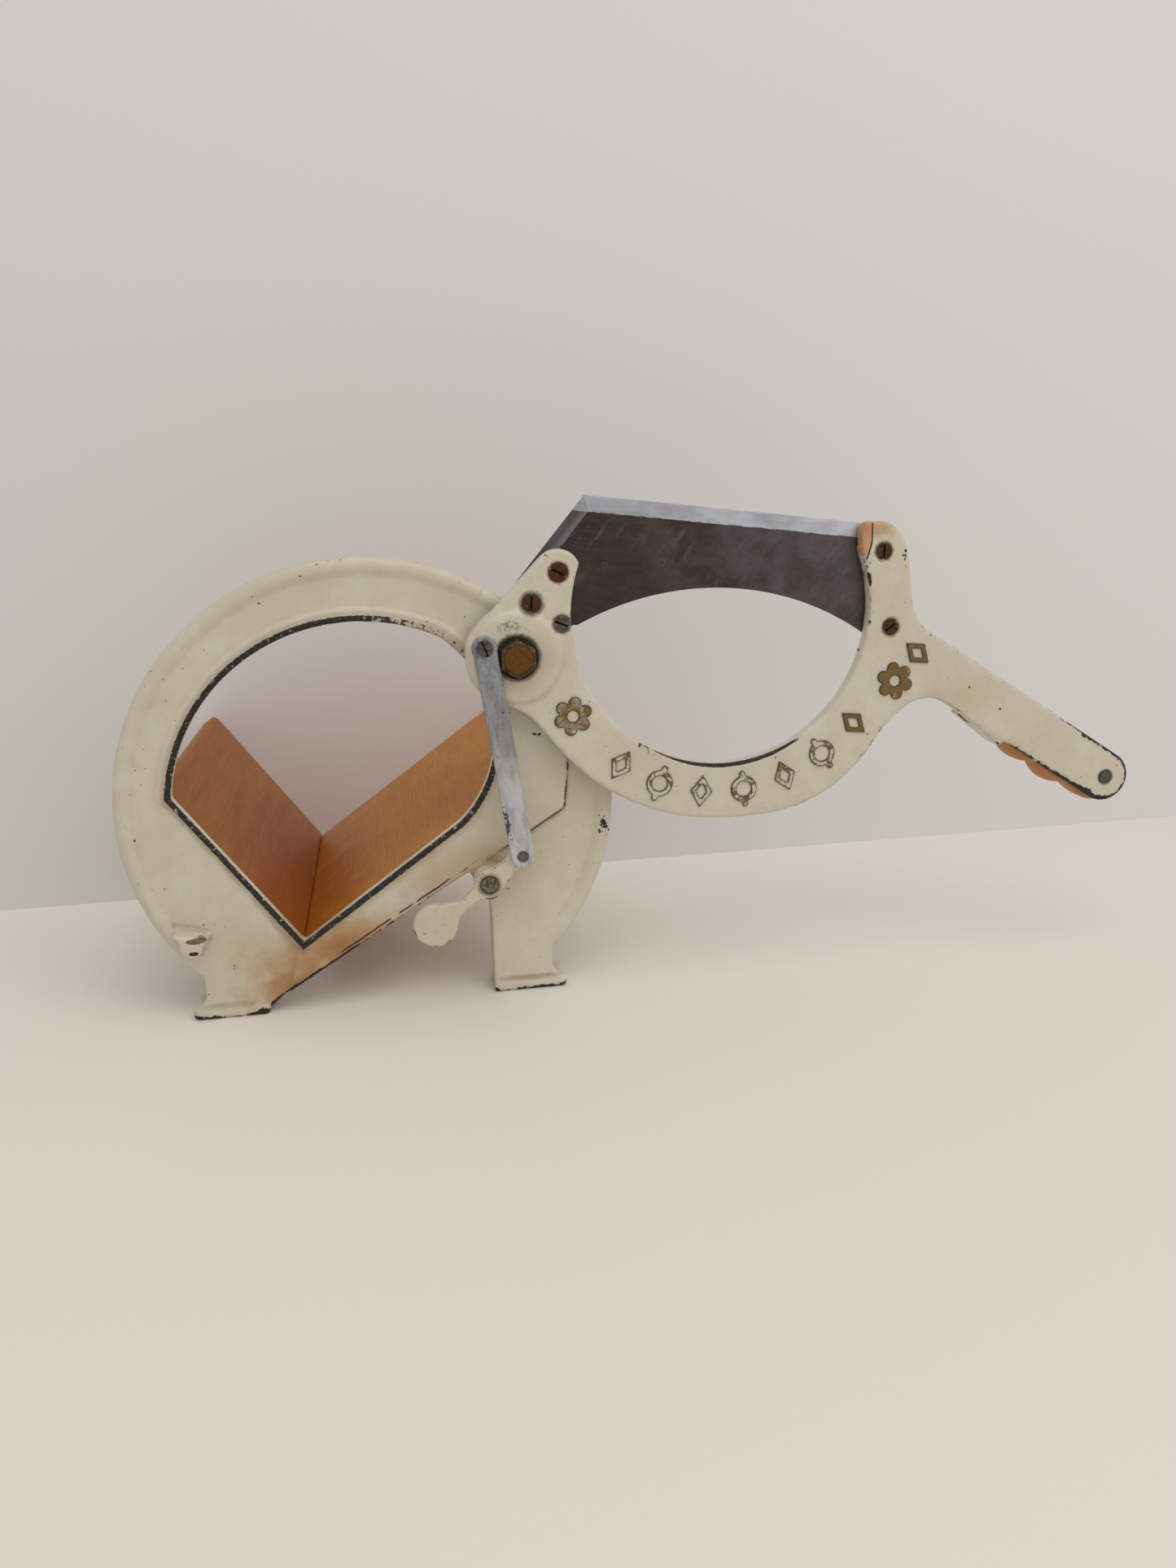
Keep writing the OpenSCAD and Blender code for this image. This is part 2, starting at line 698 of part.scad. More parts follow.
frame_casting();
stop_lug();
bed_casting();
board_left();
board_right();
board_screw_lf();
board_screw_lr();
board_screw_rf();
board_screw_rr();
bed_bolt_right();
bed_bolt_left();
bed_bolt_low();
pivot_bolt();
pivot_bush();
pivot_washer();
pivot_nut();
open_stop_pin();
arm_casting();
arm_ornaments();
blade();
blade_screw_a();
blade_screw_b();
blade_screw_c();
blade_screw_d();
blade_screw_e();
grip();
grip_rivet();
link();
link_screw();
link_rivet();
stop_lever();
stop_spindle();
stop_collar();
collar_screw();
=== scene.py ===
# Looks for the lever bread slicer: enamelled castings, a varnished wooden trough and grip, an old
# blade, and the fittings. Numbers that place a detail are in working millimetres: x from midway
# between the feet, y from the plane that the blade rubs on, z from the table.

import json
import logging
import math
from dataclasses import dataclass, field
from enum import Enum
from typing import Mapping, Sequence

import bpy
import numpy as np
from mathutils import Matrix, Vector

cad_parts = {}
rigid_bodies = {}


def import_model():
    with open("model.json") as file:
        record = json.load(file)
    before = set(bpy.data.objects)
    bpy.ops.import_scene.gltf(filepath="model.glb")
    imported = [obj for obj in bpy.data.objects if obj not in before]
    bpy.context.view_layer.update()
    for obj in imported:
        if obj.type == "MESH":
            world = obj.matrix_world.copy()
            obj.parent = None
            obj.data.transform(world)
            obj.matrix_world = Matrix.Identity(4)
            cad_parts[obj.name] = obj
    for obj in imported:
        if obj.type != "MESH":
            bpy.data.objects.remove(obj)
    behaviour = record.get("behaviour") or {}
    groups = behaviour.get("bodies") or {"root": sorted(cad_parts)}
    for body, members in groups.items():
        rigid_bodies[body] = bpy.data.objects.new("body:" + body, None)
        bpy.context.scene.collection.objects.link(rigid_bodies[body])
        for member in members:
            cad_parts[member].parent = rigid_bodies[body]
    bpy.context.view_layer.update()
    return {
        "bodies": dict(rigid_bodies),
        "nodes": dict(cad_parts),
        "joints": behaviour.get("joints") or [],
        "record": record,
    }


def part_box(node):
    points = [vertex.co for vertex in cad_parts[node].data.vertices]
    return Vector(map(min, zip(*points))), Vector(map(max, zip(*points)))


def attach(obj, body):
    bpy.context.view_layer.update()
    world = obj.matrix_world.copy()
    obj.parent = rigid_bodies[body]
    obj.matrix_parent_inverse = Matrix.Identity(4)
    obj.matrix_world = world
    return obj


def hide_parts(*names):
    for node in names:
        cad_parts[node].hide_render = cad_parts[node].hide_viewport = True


LOG = logging.getLogger("slicer")
MM = 0.001
Colour = tuple[float, float, float]
Point = tuple[float, float, float]
Socket = bpy.types.NodeSocket

PIVOT: Point = (76.2, 0.0, 181.3)        # the arm's pivot, and the hexagon on it
PIVOT_HEAD_Y = -20.2                     # front of the pivot bolt
RING: Point = (181.4, 0.0, 198.4)        # middle of the arm's ring
SPINDLE: Point = (56.9, 0.0, 65.7)       # the bread stop's spindle
HANDLE_END: Point = (398.5, 0.0, 98.6)   # middle of the handle's rounded end, and its rivet
HANDLE_FALL = 33.2                       # how steeply the handle falls, in degrees
HANDLE_HALF = 13.6                       # half of the handle's width
BAR_RISE = math.tan(math.radians(31.0))  # slope of the diagonal bar's lower edge
BAR_FOOT = 40.35                         # height of that edge at x = 0
V_FOOT = (-38.9, 38.4)                   # x and z of the opening's lowest point


# ---------------------------------------------------------------- place


@dataclass(frozen=True)
class Seat:
    """Shift between working millimetres and the frame's metres."""

    shift: Point

    @classmethod
    def from_frame(cls) -> "Seat":
        """Reads the shift from the pivot bolt, whose place in working millimetres is known."""
        low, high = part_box("pivot_bolt")
        middle = (low + high) / 2
        return cls((middle.x / MM - PIVOT[0], low.y / MM - PIVOT_HEAD_Y, middle.z / MM - PIVOT[2]))

    def metres(self, points: np.ndarray) -> np.ndarray:
        """Working millimetres, in rows of three, as metres in the frame."""
        return (np.asarray(points, float) + np.array(self.shift)) * MM


# ---------------------------------------------------------------- node wiring


class Web:
    """Short calls that wire one node tree."""

    def __init__(self, tree: bpy.types.NodeTree) -> None:
        """Keeps the tree and clears it."""
        self.tree = tree
        tree.nodes.clear()

    def node(self, kind: str, **settings: object) -> bpy.types.Node:
        """Adds a node and sets its properties."""
        made = self.tree.nodes.new(kind)
        for key, value in settings.items():
            setattr(made, key, value)
        return made

    def feed(self, socket: Socket, value: object) -> None:
        """Links a socket into another, or sets a plain value on it."""
        if isinstance(value, bpy.types.NodeSocket):
            self.tree.links.new(value, socket)
        elif isinstance(value, (tuple, list)) and len(value) == 3 and len(socket.default_value) == 4:
            socket.default_value = (*value, 1.0)
        else:
            socket.default_value = value

    def math(self, operation: str, *values: object, clamp: bool = False) -> Socket:
        """A Math node."""
        made = self.node("ShaderNodeMath", operation=operation, use_clamp=clamp)
        for socket, value in zip(made.inputs, values):
            self.feed(socket, value)
        return made.outputs[0]

    def _chain(self, operation: str, values: Sequence[object]) -> Socket:
        """One operation over two or more values, from the left."""
        total = values[0]
        for value in values[1:]:
            total = self.math(operation, total, value)
        return total

    def times(self, *values: object) -> Socket:
        """The product."""
        return self._chain("MULTIPLY", values)

    def plus(self, *values: object) -> Socket:
        """The sum."""
        return self._chain("ADD", values)

    def most(self, *values: object) -> Socket:
        """The greatest."""
        return self._chain("MAXIMUM", values)

    def less(self, first: object, second: object) -> Socket:
        """The first less the second."""
        return self.math("SUBTRACT", first, second)

    def scaled(self, value: object, factor: object, offset: object) -> Socket:
        """A value times a factor, plus an offset."""
        return self.math("MULTIPLY_ADD", value, factor, offset)

    def turned(self, vector: object, degrees: float) -> Socket:
        """A vector turned about y."""
        made = self.node("ShaderNodeVectorRotate", rotation_type="Y_AXIS")
        self.feed(made.inputs["Vector"], vector)
        made.inputs["Angle"].default_value = math.radians(degrees)
        return made.outputs[0]

    def vector(self, operation: str, *values: object) -> Socket:
        """A Vector Math node. Length, distance and dot products come back as a number."""
        made = self.node("ShaderNodeVectorMath", operation=operation)
        for socket, value in zip(made.inputs, values):
            self.feed(socket, value)
        number = operation in ("LENGTH", "DISTANCE", "DOT_PRODUCT")
        return made.outputs["Value" if number else "Vector"]

    def axes(self, vector: Socket) -> tuple[Socket, Socket, Socket]:
        """The x, y and z of a vector."""
        made = self.node("ShaderNodeSeparateXYZ")
        self.feed(made.inputs[0], vector)
        return made.outputs[0], made.outputs[1], made.outputs[2]

    def join(self, x: object, y: object, z: object) -> Socket:
        """A vector from three numbers."""
        made = self.node("ShaderNodeCombineXYZ")
        for socket, value in zip(made.inputs, (x, y, z)):
            self.feed(socket, value)
        return made.outputs[0]

    def noise(self, vector: object, scale: float, detail: float = 2.0, rough: float = 0.5,
              warp: float = 0.0) -> Socket:
        """Fractal noise from 0 to 1, with the scale in cycles a millimetre."""
        made = self.node("ShaderNodeTexNoise", noise_dimensions="3D")
        for name, value in (("Vector", vector), ("Scale", scale), ("Detail", detail),
                            ("Roughness", rough), ("Distortion", warp)):
            self.feed(made.inputs[name], value)
        return made.outputs[0]

    def cells(self, vector: object, scale: float, feature: str = "F1") -> Socket:
        """Distance to the nearest of a scatter of points."""
        made = self.node("ShaderNodeTexVoronoi", feature=feature)
        self.feed(made.inputs["Vector"], vector)
        self.feed(made.inputs["Scale"], scale)
        return made.outputs["Distance"]

    def span(self, value: object, low: float, high: float, to_low: float = 0.0,
             to_high: float = 1.0) -> Socket:
        """A smooth step from to_low at low to to_high at high."""
        made = self.node("ShaderNodeMapRange", interpolation_type="SMOOTHSTEP")
        for socket, entry in zip(made.inputs, (value, low, high, to_low, to_high)):
            self.feed(socket, entry)
        return made.outputs[0]

    def mix(self, share: object, first: object, second: object, mode: str = "MIX") -> Socket:
        """Mixes two colours."""
        made = self.node("ShaderNodeMix", data_type="RGBA", blend_type=mode, clamp_factor=True)
        for index, value in ((0, share), (6, first), (7, second)):
            self.feed(made.inputs[index], value)
        return made.outputs[2]

    def attribute(self, name: str) -> Socket:
        """A number kept on the mesh."""
        made = self.node("ShaderNodeAttribute", attribute_name=name, attribute_type="GEOMETRY")
        return made.outputs["Fac"]

    def call(self, group: bpy.types.NodeTree, **values: object) -> Mapping[str, Socket]:
        """Places a shader node group. An underscore in a name stands for a space."""
        made = self.node("ShaderNodeGroup", node_tree=group)
        for key, value in values.items():
            self.feed(made.inputs[key.replace("_", " ")], value)
        return {socket.name: socket for socket in made.outputs}


def start_group(name: str, takes: Mapping[str, str], gives: Sequence[str]) -> tuple[Web, dict, dict]:
    """Starts a shader node group.

    Args:
        name: The group's name.
        takes: Input names with "VECTOR" or "FLOAT".
        gives: Names of the outputs, all plain numbers.

    Returns:
        The web to wire, its inputs by name, and its output sockets by name.
    """
    tree = bpy.data.node_groups.new(name, "ShaderNodeTree")
    web = Web(tree)
    for key, kind in takes.items():
        tree.interface.new_socket(key, in_out="INPUT",
                                  socket_type="NodeSocketVector" if kind == "VECTOR" else "NodeSocketFloat")
    for key in gives:
        tree.interface.new_socket(key, in_out="OUTPUT", socket_type="NodeSocketFloat")
    source, sink = web.node("NodeGroupInput"), web.node("NodeGroupOutput")
    return web, {s.name: s for s in source.outputs if s.name}, {s.name: s for s in sink.inputs if s.name}


class Effects:
    """The node groups that several finishes share."""

    def __init__(self, seat: Seat) -> None:
        """Builds every group once."""
        self.seat = seat
        self.weather = self._weather()
        self.chips = self._chips()
        self.stain = self._stain()
        self.grain = self._grain()
        self.drag = self._drag()
        self.pool = self._pool()

    def place(self, web: Web) -> Socket:
        """Object coordinates as working millimetres."""
        coordinates = web.node("ShaderNodeTexCoord").outputs["Object"]
        scaled = web.vector("MULTIPLY", coordinates, (1 / MM,) * 3)
        return web.vector("SUBTRACT", scaled, tuple(self.seat.shift))

    def _weather(self) -> bpy.types.NodeTree:
        """Uneven age: wide clouds, small mottling, brush marks and a few dark pin specks."""
        web, take, give = start_group("uneven_age", {"Place": "VECTOR"},
                                      ("Cloud", "Mottle", "Skin", "Specks"))
        place = take["Place"]
        cloud = web.span(web.noise(place, 0.018, 3.0, 0.55, 0.4), 0.32, 0.68)
        mottle = web.span(web.noise(web.vector("ADD", place, (31.0, 7.0, 3.0)), 0.11, 4.0, 0.6), 0.3, 0.72)
        skin = web.noise(place, 0.42, 3.0, 0.55)
        dots = web.cells(place, 0.085)
        lively = web.span(web.noise(web.vector("ADD", place, (5.0, 50.0, 9.0)), 0.05, 2.0), 0.5, 0.62)
        ragged = web.scaled(web.noise(place, 1.3, 2.0), 0.06, dots)
        specks = web.times(web.span(ragged, 0.088, 0.066), lively)
        pin = web.cells(web.vector("ADD", place, (40.0, 11.0, 23.0)), 0.17)
        busy = web.span(web.noise(web.vector("ADD", place, (61.0, 5.0, 2.0)), 0.03, 2.0), 0.48, 0.58)
        pin = web.scaled(web.noise(place, 1.7, 2.0), 0.05, pin)
        pin = web.times(web.span(pin, 0.085, 0.065), busy)
        specks = web.most(specks, web.times(pin, 0.85))
        for key, value in (("Cloud", cloud), ("Mottle", mottle), ("Skin", skin), ("Specks", specks)):
            web.feed(give[key], value)
        return web.tree

    def _chips(self) -> bpy.types.NodeTree:
        """Paint lost from an edge: ragged noise added to how sharp the edge is, then cut off."""
        web, take, give = start_group("paint_chips", {"Place": "VECTOR", "Edge": "FLOAT", "Reach": "FLOAT"},
                                      ("Chip", "Halo"))
        zone = web.noise(web.vector("ADD", take["Place"], (17.0, 3.0, 29.0)), 0.035, 2.0)
        ragged = web.noise(take["Place"], 0.32, 4.0, 0.62)
        base = web.scaled(ragged, 1.5, web.scaled(zone, 1.4, -1.45))
        total = web.scaled(take["Edge"], take["Reach"], base)
        web.feed(give["Chip"], web.span(total, 0.75, 0.79))
        web.feed(give["Halo"], web.span(total, 0.5, 0.75))
        return web.tree

    def _stain(self) -> bpy.types.NodeTree:
        """A soft stained patch: one inside an ellipsoid, fading to none at its skin, with a wavy edge."""
        web, take, give = start_group("soft_stain", {"Place": "VECTOR", "Centre": "VECTOR", "Size": "VECTOR"},
                                      ("Patch",))
        wave = web.scaled(web.noise(take["Place"], 0.06, 4.0, 0.6), 1.3, -0.65)
        away = web.vector("DIVIDE", web.vector("SUBTRACT", take["Place"], take["Centre"]), take["Size"])
        reach = web.plus(web.vector("LENGTH", away), wave)
        web.feed(give["Patch"], web.span(reach, 1.0, 0.15))
        return web.tree

    def _grain(self) -> bpy.types.NodeTree:
        """Wood figure along y: broad streaks, fine fibres and short dark pores."""
        web, take, give = start_group("wood_figure", {"Place": "VECTOR"}, ("Streak", "Fibre", "Pore"))
        broad = web.vector("MULTIPLY", take["Place"], (1.0, 0.06, 1.0))
        fine = web.vector("MULTIPLY", take["Place"], (1.0, 0.035, 1.0))
        streak = web.span(web.noise(broad, 0.16, 4.0, 0.55, 0.6), 0.28, 0.74)
        fibre = web.noise(fine, 1.15, 3.0, 0.6)
        pore = web.span(web.noise(web.vector("MULTIPLY", take["Place"], (1.0, 0.16, 1.0)), 2.1, 1.0), 0.69,
                        0.76)
        for key, value in (("Streak", streak), ("Fibre", fibre), ("Pore", pore)):
            web.feed(give[key], value)
        return web.tree

    def _drag(self) -> bpy.types.NodeTree:
        """Marks dragged one way over metal: x of the place runs along the marks."""
        web, take, give = start_group("dragged_marks", {"Place": "VECTOR"}, ("Fine", "Wipe", "Scratch"))
        fine = web.noise(web.vector("MULTIPLY", take["Place"], (0.05, 1.0, 1.0)), 2.2, 3.0, 0.6)
        wipe = web.span(web.noise(web.vector("MULTIPLY", take["Place"], (0.3, 1.0, 1.0)), 0.22, 5.0, 0.68,
                                  0.6), 0.36, 0.66)
        scratch = web.span(web.noise(web.vector("MULTIPLY", take["Place"], (0.03, 1.0, 1.0)), 1.4, 1.0), 0.7,
                           0.78)
        for key, value in (("Fine", fine), ("Wipe", wipe), ("Scratch", scratch)):
            web.feed(give[key], value)
        return web.tree

    def _pool(self) -> bpy.types.NodeTree:
        """Dirt ring round an axis along y: one from the inner to the outer radius, with a ragged fade."""
        web, take, give = start_group("dirt_ring", {"Place": "VECTOR", "Centre": "VECTOR", "Inner": "FLOAT",
                                                    "Outer": "FLOAT"}, ("Ring",))
        flat = web.vector("MULTIPLY", web.vector("SUBTRACT", take["Place"], take["Centre"]), (1.0, 0.0, 1.0))
        ragged = web.scaled(web.noise(take["Place"], 0.5, 4.0, 0.7), 2.6, -1.3)
        away = web.plus(web.vector("LENGTH", flat), ragged)
        outside = web.math("DIVIDE", web.less(take["Outer"], away), web.less(take["Outer"], take["Inner"]),
                           clamp=True)
        web.feed(give["Ring"], web.math("POWER", outside, 0.8))
        return web.tree


# ---------------------------------------------------------------- finishes


def finish_material(web: Web, material: bpy.types.Material, colour: object, rough: object,
                    metal: object = 0.0, height: object = None, depth: float = 0.3,
                    coat: object = 0.0, specular: float = 0.5) -> bpy.types.Material:
    """Adds the shader, the bump and the output.

    Args:
        web: The material's web.
        material: The material to finish.
        colour: Base colour, or a socket.
        rough: Roughness, or a socket.
        metal: Metallic, or a socket.
        height: Height of the relief in millimetres, or None.
        depth: Strength of the bump.
        coat: Coat weight, or a socket.
        specular: How strong plain reflections are, 0.5 being glass-like paint.

    Returns:
        The same material.
    """
    shader = web.node("ShaderNodeBsdfPrincipled")
    web.feed(shader.inputs["Base Color"], colour)
    web.feed(shader.inputs["Roughness"], rough)
    web.feed(shader.inputs["Metallic"], metal)
    web.feed(shader.inputs["Coat Weight"], coat)
    shader.inputs["Coat Roughness"].default_value = 0.22
    shader.inputs["Specular IOR Level"].default_value = specular
    if height is not None:
        bump = web.node("ShaderNodeBump")
        bump.inputs["Strength"].default_value = depth
        bump.inputs["Distance"].default_value = MM
        web.feed(bump.inputs["Height"], height)
        web.feed(shader.inputs["Normal"], bump.outputs[0])
    out = web.node("ShaderNodeOutputMaterial")
    web.feed(out.inputs["Surface"], shader.outputs[0])
    return material


def new_material(name: str) -> tuple[bpy.types.Material, Web]:
    """A new node material and its web."""
    material = bpy.data.materials.new(name)
    material.use_nodes = True
    return material, Web(material.node_tree)


class Casting(Enum):
    """Which casting an enamel is for, because each wears in its own places."""

    FRAME = "frame"
    ARM = "arm"
    LEVER = "lever"
    BED = "bed"


@dataclass(frozen=True)
class Enamel:
    """Old cream enamel over black cast iron, chipped at the edges and stained brown below."""

    effects: Effects
    cream: Colour = (0.59, 0.535, 0.415)
    pale: Colour = (0.635, 0.59, 0.49)
    yellow: Colour = (0.52, 0.43, 0.28)
    iron: Colour = (0.010, 0.009, 0.008)
    rust: Colour = (0.15, 0.055, 0.018)
    tan: Colour = (0.43, 0.238, 0.098)
    orange: Colour = (0.325, 0.132, 0.034)
    brown: Colour = (0.20, 0.105, 0.04)
    grime: Colour = (0.035, 0.032, 0.026)

    def material(self, casting: Casting) -> bpy.types.Material:
        """The enamel of one casting."""
        material, web = new_material(f"enamel_{casting.value}")
        place = self.effects.place(web)
        age = web.call(self.effects.weather, Place=place)
        edge, hollow = web.attribute("edge"), web.attribute("hollow")
        tone = web.mix(age["Cloud"], self.cream, self.pale)
        tone = web.mix(web.times(age["Mottle"], 0.30), tone, self.yellow)
        dirt_and_slot_shade = web.times(web.span(hollow, 0.28, 0.95), web.span(age["Mottle"], 0.0, 0.7, 0.35, 0.9))
        tone = web.mix(web.times(dirt_and_slot_shade, 0.42), tone, self.brown)
        tone, bare = self._accents(web, casting, place, tone)
        chips = web.call(self.effects.chips, Place=place, Edge=edge, Reach=self._reach(web, casting, place))
        chip = web.most(chips["Chip"], bare, age["Specks"])
        tone = web.mix(web.times(chips["Halo"], 0.34), tone, self.brown)
        bare_tone = web.mix(web.span(web.noise(place, 0.7, 3.0), 0.55, 0.75), self.iron, self.rust)
        tone = web.mix(chip, tone, bare_tone)
        rough = web.scaled(age["Skin"], 0.16, 0.30)
        rough = web.plus(rough, web.times(chip, 0.28))
        soft = web.times(web.noise(place, 0.16, 2.0), 0.55)
        height = web.plus(soft, web.times(age["Skin"], 0.12))
        height = web.less(height, web.times(chip, 0.5))
        return finish_material(web, material, tone, rough, 0.0, height, 0.42)

    def _reach(self, web: Web, casting: Casting, place: Socket) -> object:
        """How far the chips reach in from the edges, which differs along each casting."""
        x, _, z = web.axes(place)
        if casting is Casting.FRAME:
            feet = web.span(z, 3.6, 1.4, 0.38, 1.3)
            under = web.less(z, web.scaled(x, BAR_RISE, BAR_FOOT))
            bar = web.times(web.span(x, 2.0, -20.0, 0.40, 1.25), web.span(under, 3.4, 1.4))
            return web.plus(feet, web.times(bar, web.span(x, 60.0, 50.0)))
        if casting is Casting.ARM:
            handle = web.span(x, 330.0, 398.0, 0.44, 1.2)
            lower = web.times(web.span(web.scaled(x, math.tan(math.radians(HANDLE_FALL)), z), 352.0, 346.0),
                              web.span(x, 300.0, 318.0, 0.0, 0.5))
            post = web.times(web.span(x, 261.0, 259.0), web.span(x, 249.0, 251.0))
            post = web.times(post, web.span(z, 184.0, 192.0, 0.0, 0.55), web.span(z, 226.0, 222.0))
            return web.plus(handle, lower, post)
        return 0.95 if casting is Casting.LEVER else 0.40

    def _accents(self, web: Web, casting: Casting, place: Socket, tone: Socket) -> tuple[Socket, object]:
        """Stains and bare places that belong to one casting.

        Args:
            web: The material's web.
            casting: Which casting.
            place: Working millimetres.
            tone: The colour so far.

        Returns:
            The new colour, and the mask of bare iron.
        """
        if casting is Casting.FRAME:
            return self._frame_accents(web, place, tone)
        if casting is Casting.ARM:
            return self._arm_accents(web, place, tone)
        if casting is Casting.LEVER:
            ring = web.call(self.effects.pool, Place=place, Centre=SPINDLE, Inner=4.9, Outer=6.9)["Ring"]
            tone = web.mix(web.times(ring, 0.92), tone, self.grime)
            tone = web.mix(0.30, tone, self.yellow)
            smear = web.span(web.noise(web.vector("ADD", place, (3.0, 0.0, 8.0)), 0.3, 5.0, 0.7), 0.56, 0.72)
            pits = web.noise(web.vector("ADD", place, (7.0, 2.0, 1.0)), 0.42, 3.0, 0.65)
            pits = web.span(pits, 0.715, 0.735)
            return web.mix(web.times(smear, 0.42), tone, self.brown), pits
        return tone, 0.0

    def _lip_distance(self, web: Web, x: Socket, z: Socket) -> Socket:
        """Distance outside the bread opening.

        The opening is a disc cut by the two slopes of the V, joined on the pivot side to a smaller
        disc. Outside it the distance is the greatest of the distances outside each of these.
        """
        def disc(cx: float, cz: float, radius: float) -> Socket:
            """Distance outside one disc."""
            flat = web.join(web.less(x, cx), 0.0, web.less(z, cz))
            return web.less(web.vector("LENGTH", flat), radius)

        def side(px: float, pz: float, degrees: float) -> Socket:
            """Distance past a straight line through a point, towards a heading."""
            nx, nz = math.cos(math.radians(degrees)), math.sin(math.radians(degrees))
            first = web.times(web.less(x, px), nx)
            return web.scaled(web.less(z, pz), nz, first)

        slopes = web.most(side(*V_FOOT, 215.5), side(*V_FOOT, -55.1))
        pivot_side = web.math("MINIMUM", disc(2.0, 142.0, 62.2),
                              web.math("MINIMUM", side(2.0, 142.0, 0.0), side(2.0, 142.0, 34.9)))
        arcs = web.most(disc(-2.0, 106.0, 95.2), pivot_side)
        return web.most(slopes, arcs)

    def _frame_accents(self, web: Web, place: Socket, tone: Socket) -> tuple[Socket, Socket]:
        """Brown wash below the V, rubbed lip, cracked line along the diagonal bar, worn lug, and a dark brown
        line of painted shade along the raised panel's lower edge.
        """
        x, y, z = web.axes(place)
        for centre, size, strength, colour in (
                ((-12.0, 2.0, 34.0), (72.0, 60.0, 26.0), 0.85, self.tan),
                ((-46.0, 2.0, 16.0), (34.0, 60.0, 22.0), 0.85, self.tan),
                ((-40.0, 2.0, 14.0), (26.0, 60.0, 12.0), 0.85, self.orange),
                ((-8.0, 2.0, 36.0), (40.0, 60.0, 9.0), 0.60, self.orange),
                ((-20.0, 2.0, 31.0), (24.0, 60.0, 10.0), 0.55, self.orange),
                ((-57.0, 2.0, 10.0), (20.0, 60.0, 12.0), 0.60, self.tan),
                ((-66.0, 2.0, 38.0), (30.0, 60.0, 22.0), 0.30, self.yellow),
                ((44.0, 2.0, 70.0), (50.0, 60.0, 24.0), 0.45, self.tan),
                ((-78.0, 2.0, 6.6), (26.0, 60.0, 2.4), 0.42, self.brown),
                ((78.0, 2.0, 6.6), (24.0, 60.0, 2.2), 0.55, self.brown)):
            patch = web.call(self.effects.stain, Place=place, Centre=centre, Size=size)["Patch"]
            tone = web.mix(web.times(patch, strength), tone, colour)
        distance = self._lip_distance(web, x, z)
        ragged = web.scaled(web.noise(place, 0.5, 4.0, 0.66), 1.5, -0.75)
        shifted = web.plus(distance, ragged)
        front = web.span(y, 1.3, 0.8)
        worn = web.times(web.span(shifted, 3.15, 2.95), web.span(distance, -0.6, -0.3))
        fading = web.times(web.span(x, -8.0, 44.0), web.span(z, 150.0, 176.0))
        patchy = web.span(web.less(web.noise(place, 0.42, 4.0, 0.7), web.times(fading, 0.2)), 0.36, 0.40)
        lip = web.times(worn, front, patchy)
        soil = web.times(web.span(distance, 7.5, 3.0), front)
        tone = web.mix(web.times(soil, 0.35), tone, self.brown)
        bar = web.less(z, web.scaled(x, BAR_RISE, BAR_FOOT))
        wander = web.scaled(web.noise(place, 0.12, 3.0), 1.6, -0.8)
        line = web.math("ABSOLUTE", web.less(web.plus(bar, wander), 3.3))
        crack = web.times(web.span(line, 0.62, 0.34), web.span(x, 56.0, 40.0), web.span(x, -24.0, -18.0))
        crack = web.times(crack, web.span(web.noise(place, 0.09, 2.0), 0.36, 0.44))
        crack = web.times(crack, web.span(y, 6.0, 4.0))
        nub = web.vector("LENGTH", web.vector("DIVIDE", web.vector("SUBTRACT", place, (-90.6, -9.0, 47.2)),
                                              (5.6, 9.0, 1.5)))
        nub = web.span(web.plus(nub, web.times(ragged, 0.45)), 1.0, 0.8)
        lump = web.vector("LENGTH", web.vector("DIVIDE", web.vector("SUBTRACT", place, (-92.2, -9.0, 40.8)),
                                               (2.6, 6.0, 1.2)))
        lump = web.span(web.plus(lump, web.times(ragged, 0.5)), 1.0, 0.85)
        tone = web.mix(web.times(nub, 0.92), tone, (0.085, 0.058, 0.020))
        # Painted shade: a dark brown line along the raised panel's lower diagonal edge, whose bevel faces
        # down; it also stands for the brown dirt in that step.
        above = web.plus(bar, 22.95)
        above = web.math("ABSOLUTE", web.plus(web.less(above, 23.0), web.times(wander, 0.4)))
        bare_and_shaded_edge_line = web.times(web.span(above, 1.5, 0.5), web.span(x, 60.0, 70.0), web.span(x, 99.0, 97.0))
        bare_and_shaded_edge_line = web.times(bare_and_shaded_edge_line, web.span(y, 6.0, 5.0))
        tone = web.mix(web.times(bare_and_shaded_edge_line, 0.92), tone, (0.11, 0.055, 0.025))
        side = web.less(x, web.scaled(web.less(z, 103.0), 0.108, 99.3))
        side = web.times(web.span(web.math("ABSOLUTE", side), 0.75, 0.4), web.span(z, 98.0, 100.0),
                         web.span(z, 146.0, 142.0))
        side = web.times(side, web.span(web.noise(place, 0.55, 4.0, 0.7), 0.47, 0.51))
        for centre, size in (((119.0, 2.0, 89.0), (6.0, 30.0, 15.0)), ((114.0, 2.0, 68.0), (4.0, 30.0, 4.0)),
                             ((86.0, 2.0, 140.0), (8.0, 30.0, 3.0))):
            spot = web.call(self.effects.stain, Place=place, Centre=centre, Size=size)["Patch"]
            spot = web.span(web.scaled(spot, 0.22, web.noise(place, 0.34, 3.0, 0.62)), 0.715, 0.74)
            side = web.most(side, spot)
        lump = web.most(lump, web.times(side, web.span(y, 6.0, 5.0)))
        bare = web.most(lip, crack, lump)
        return tone, bare

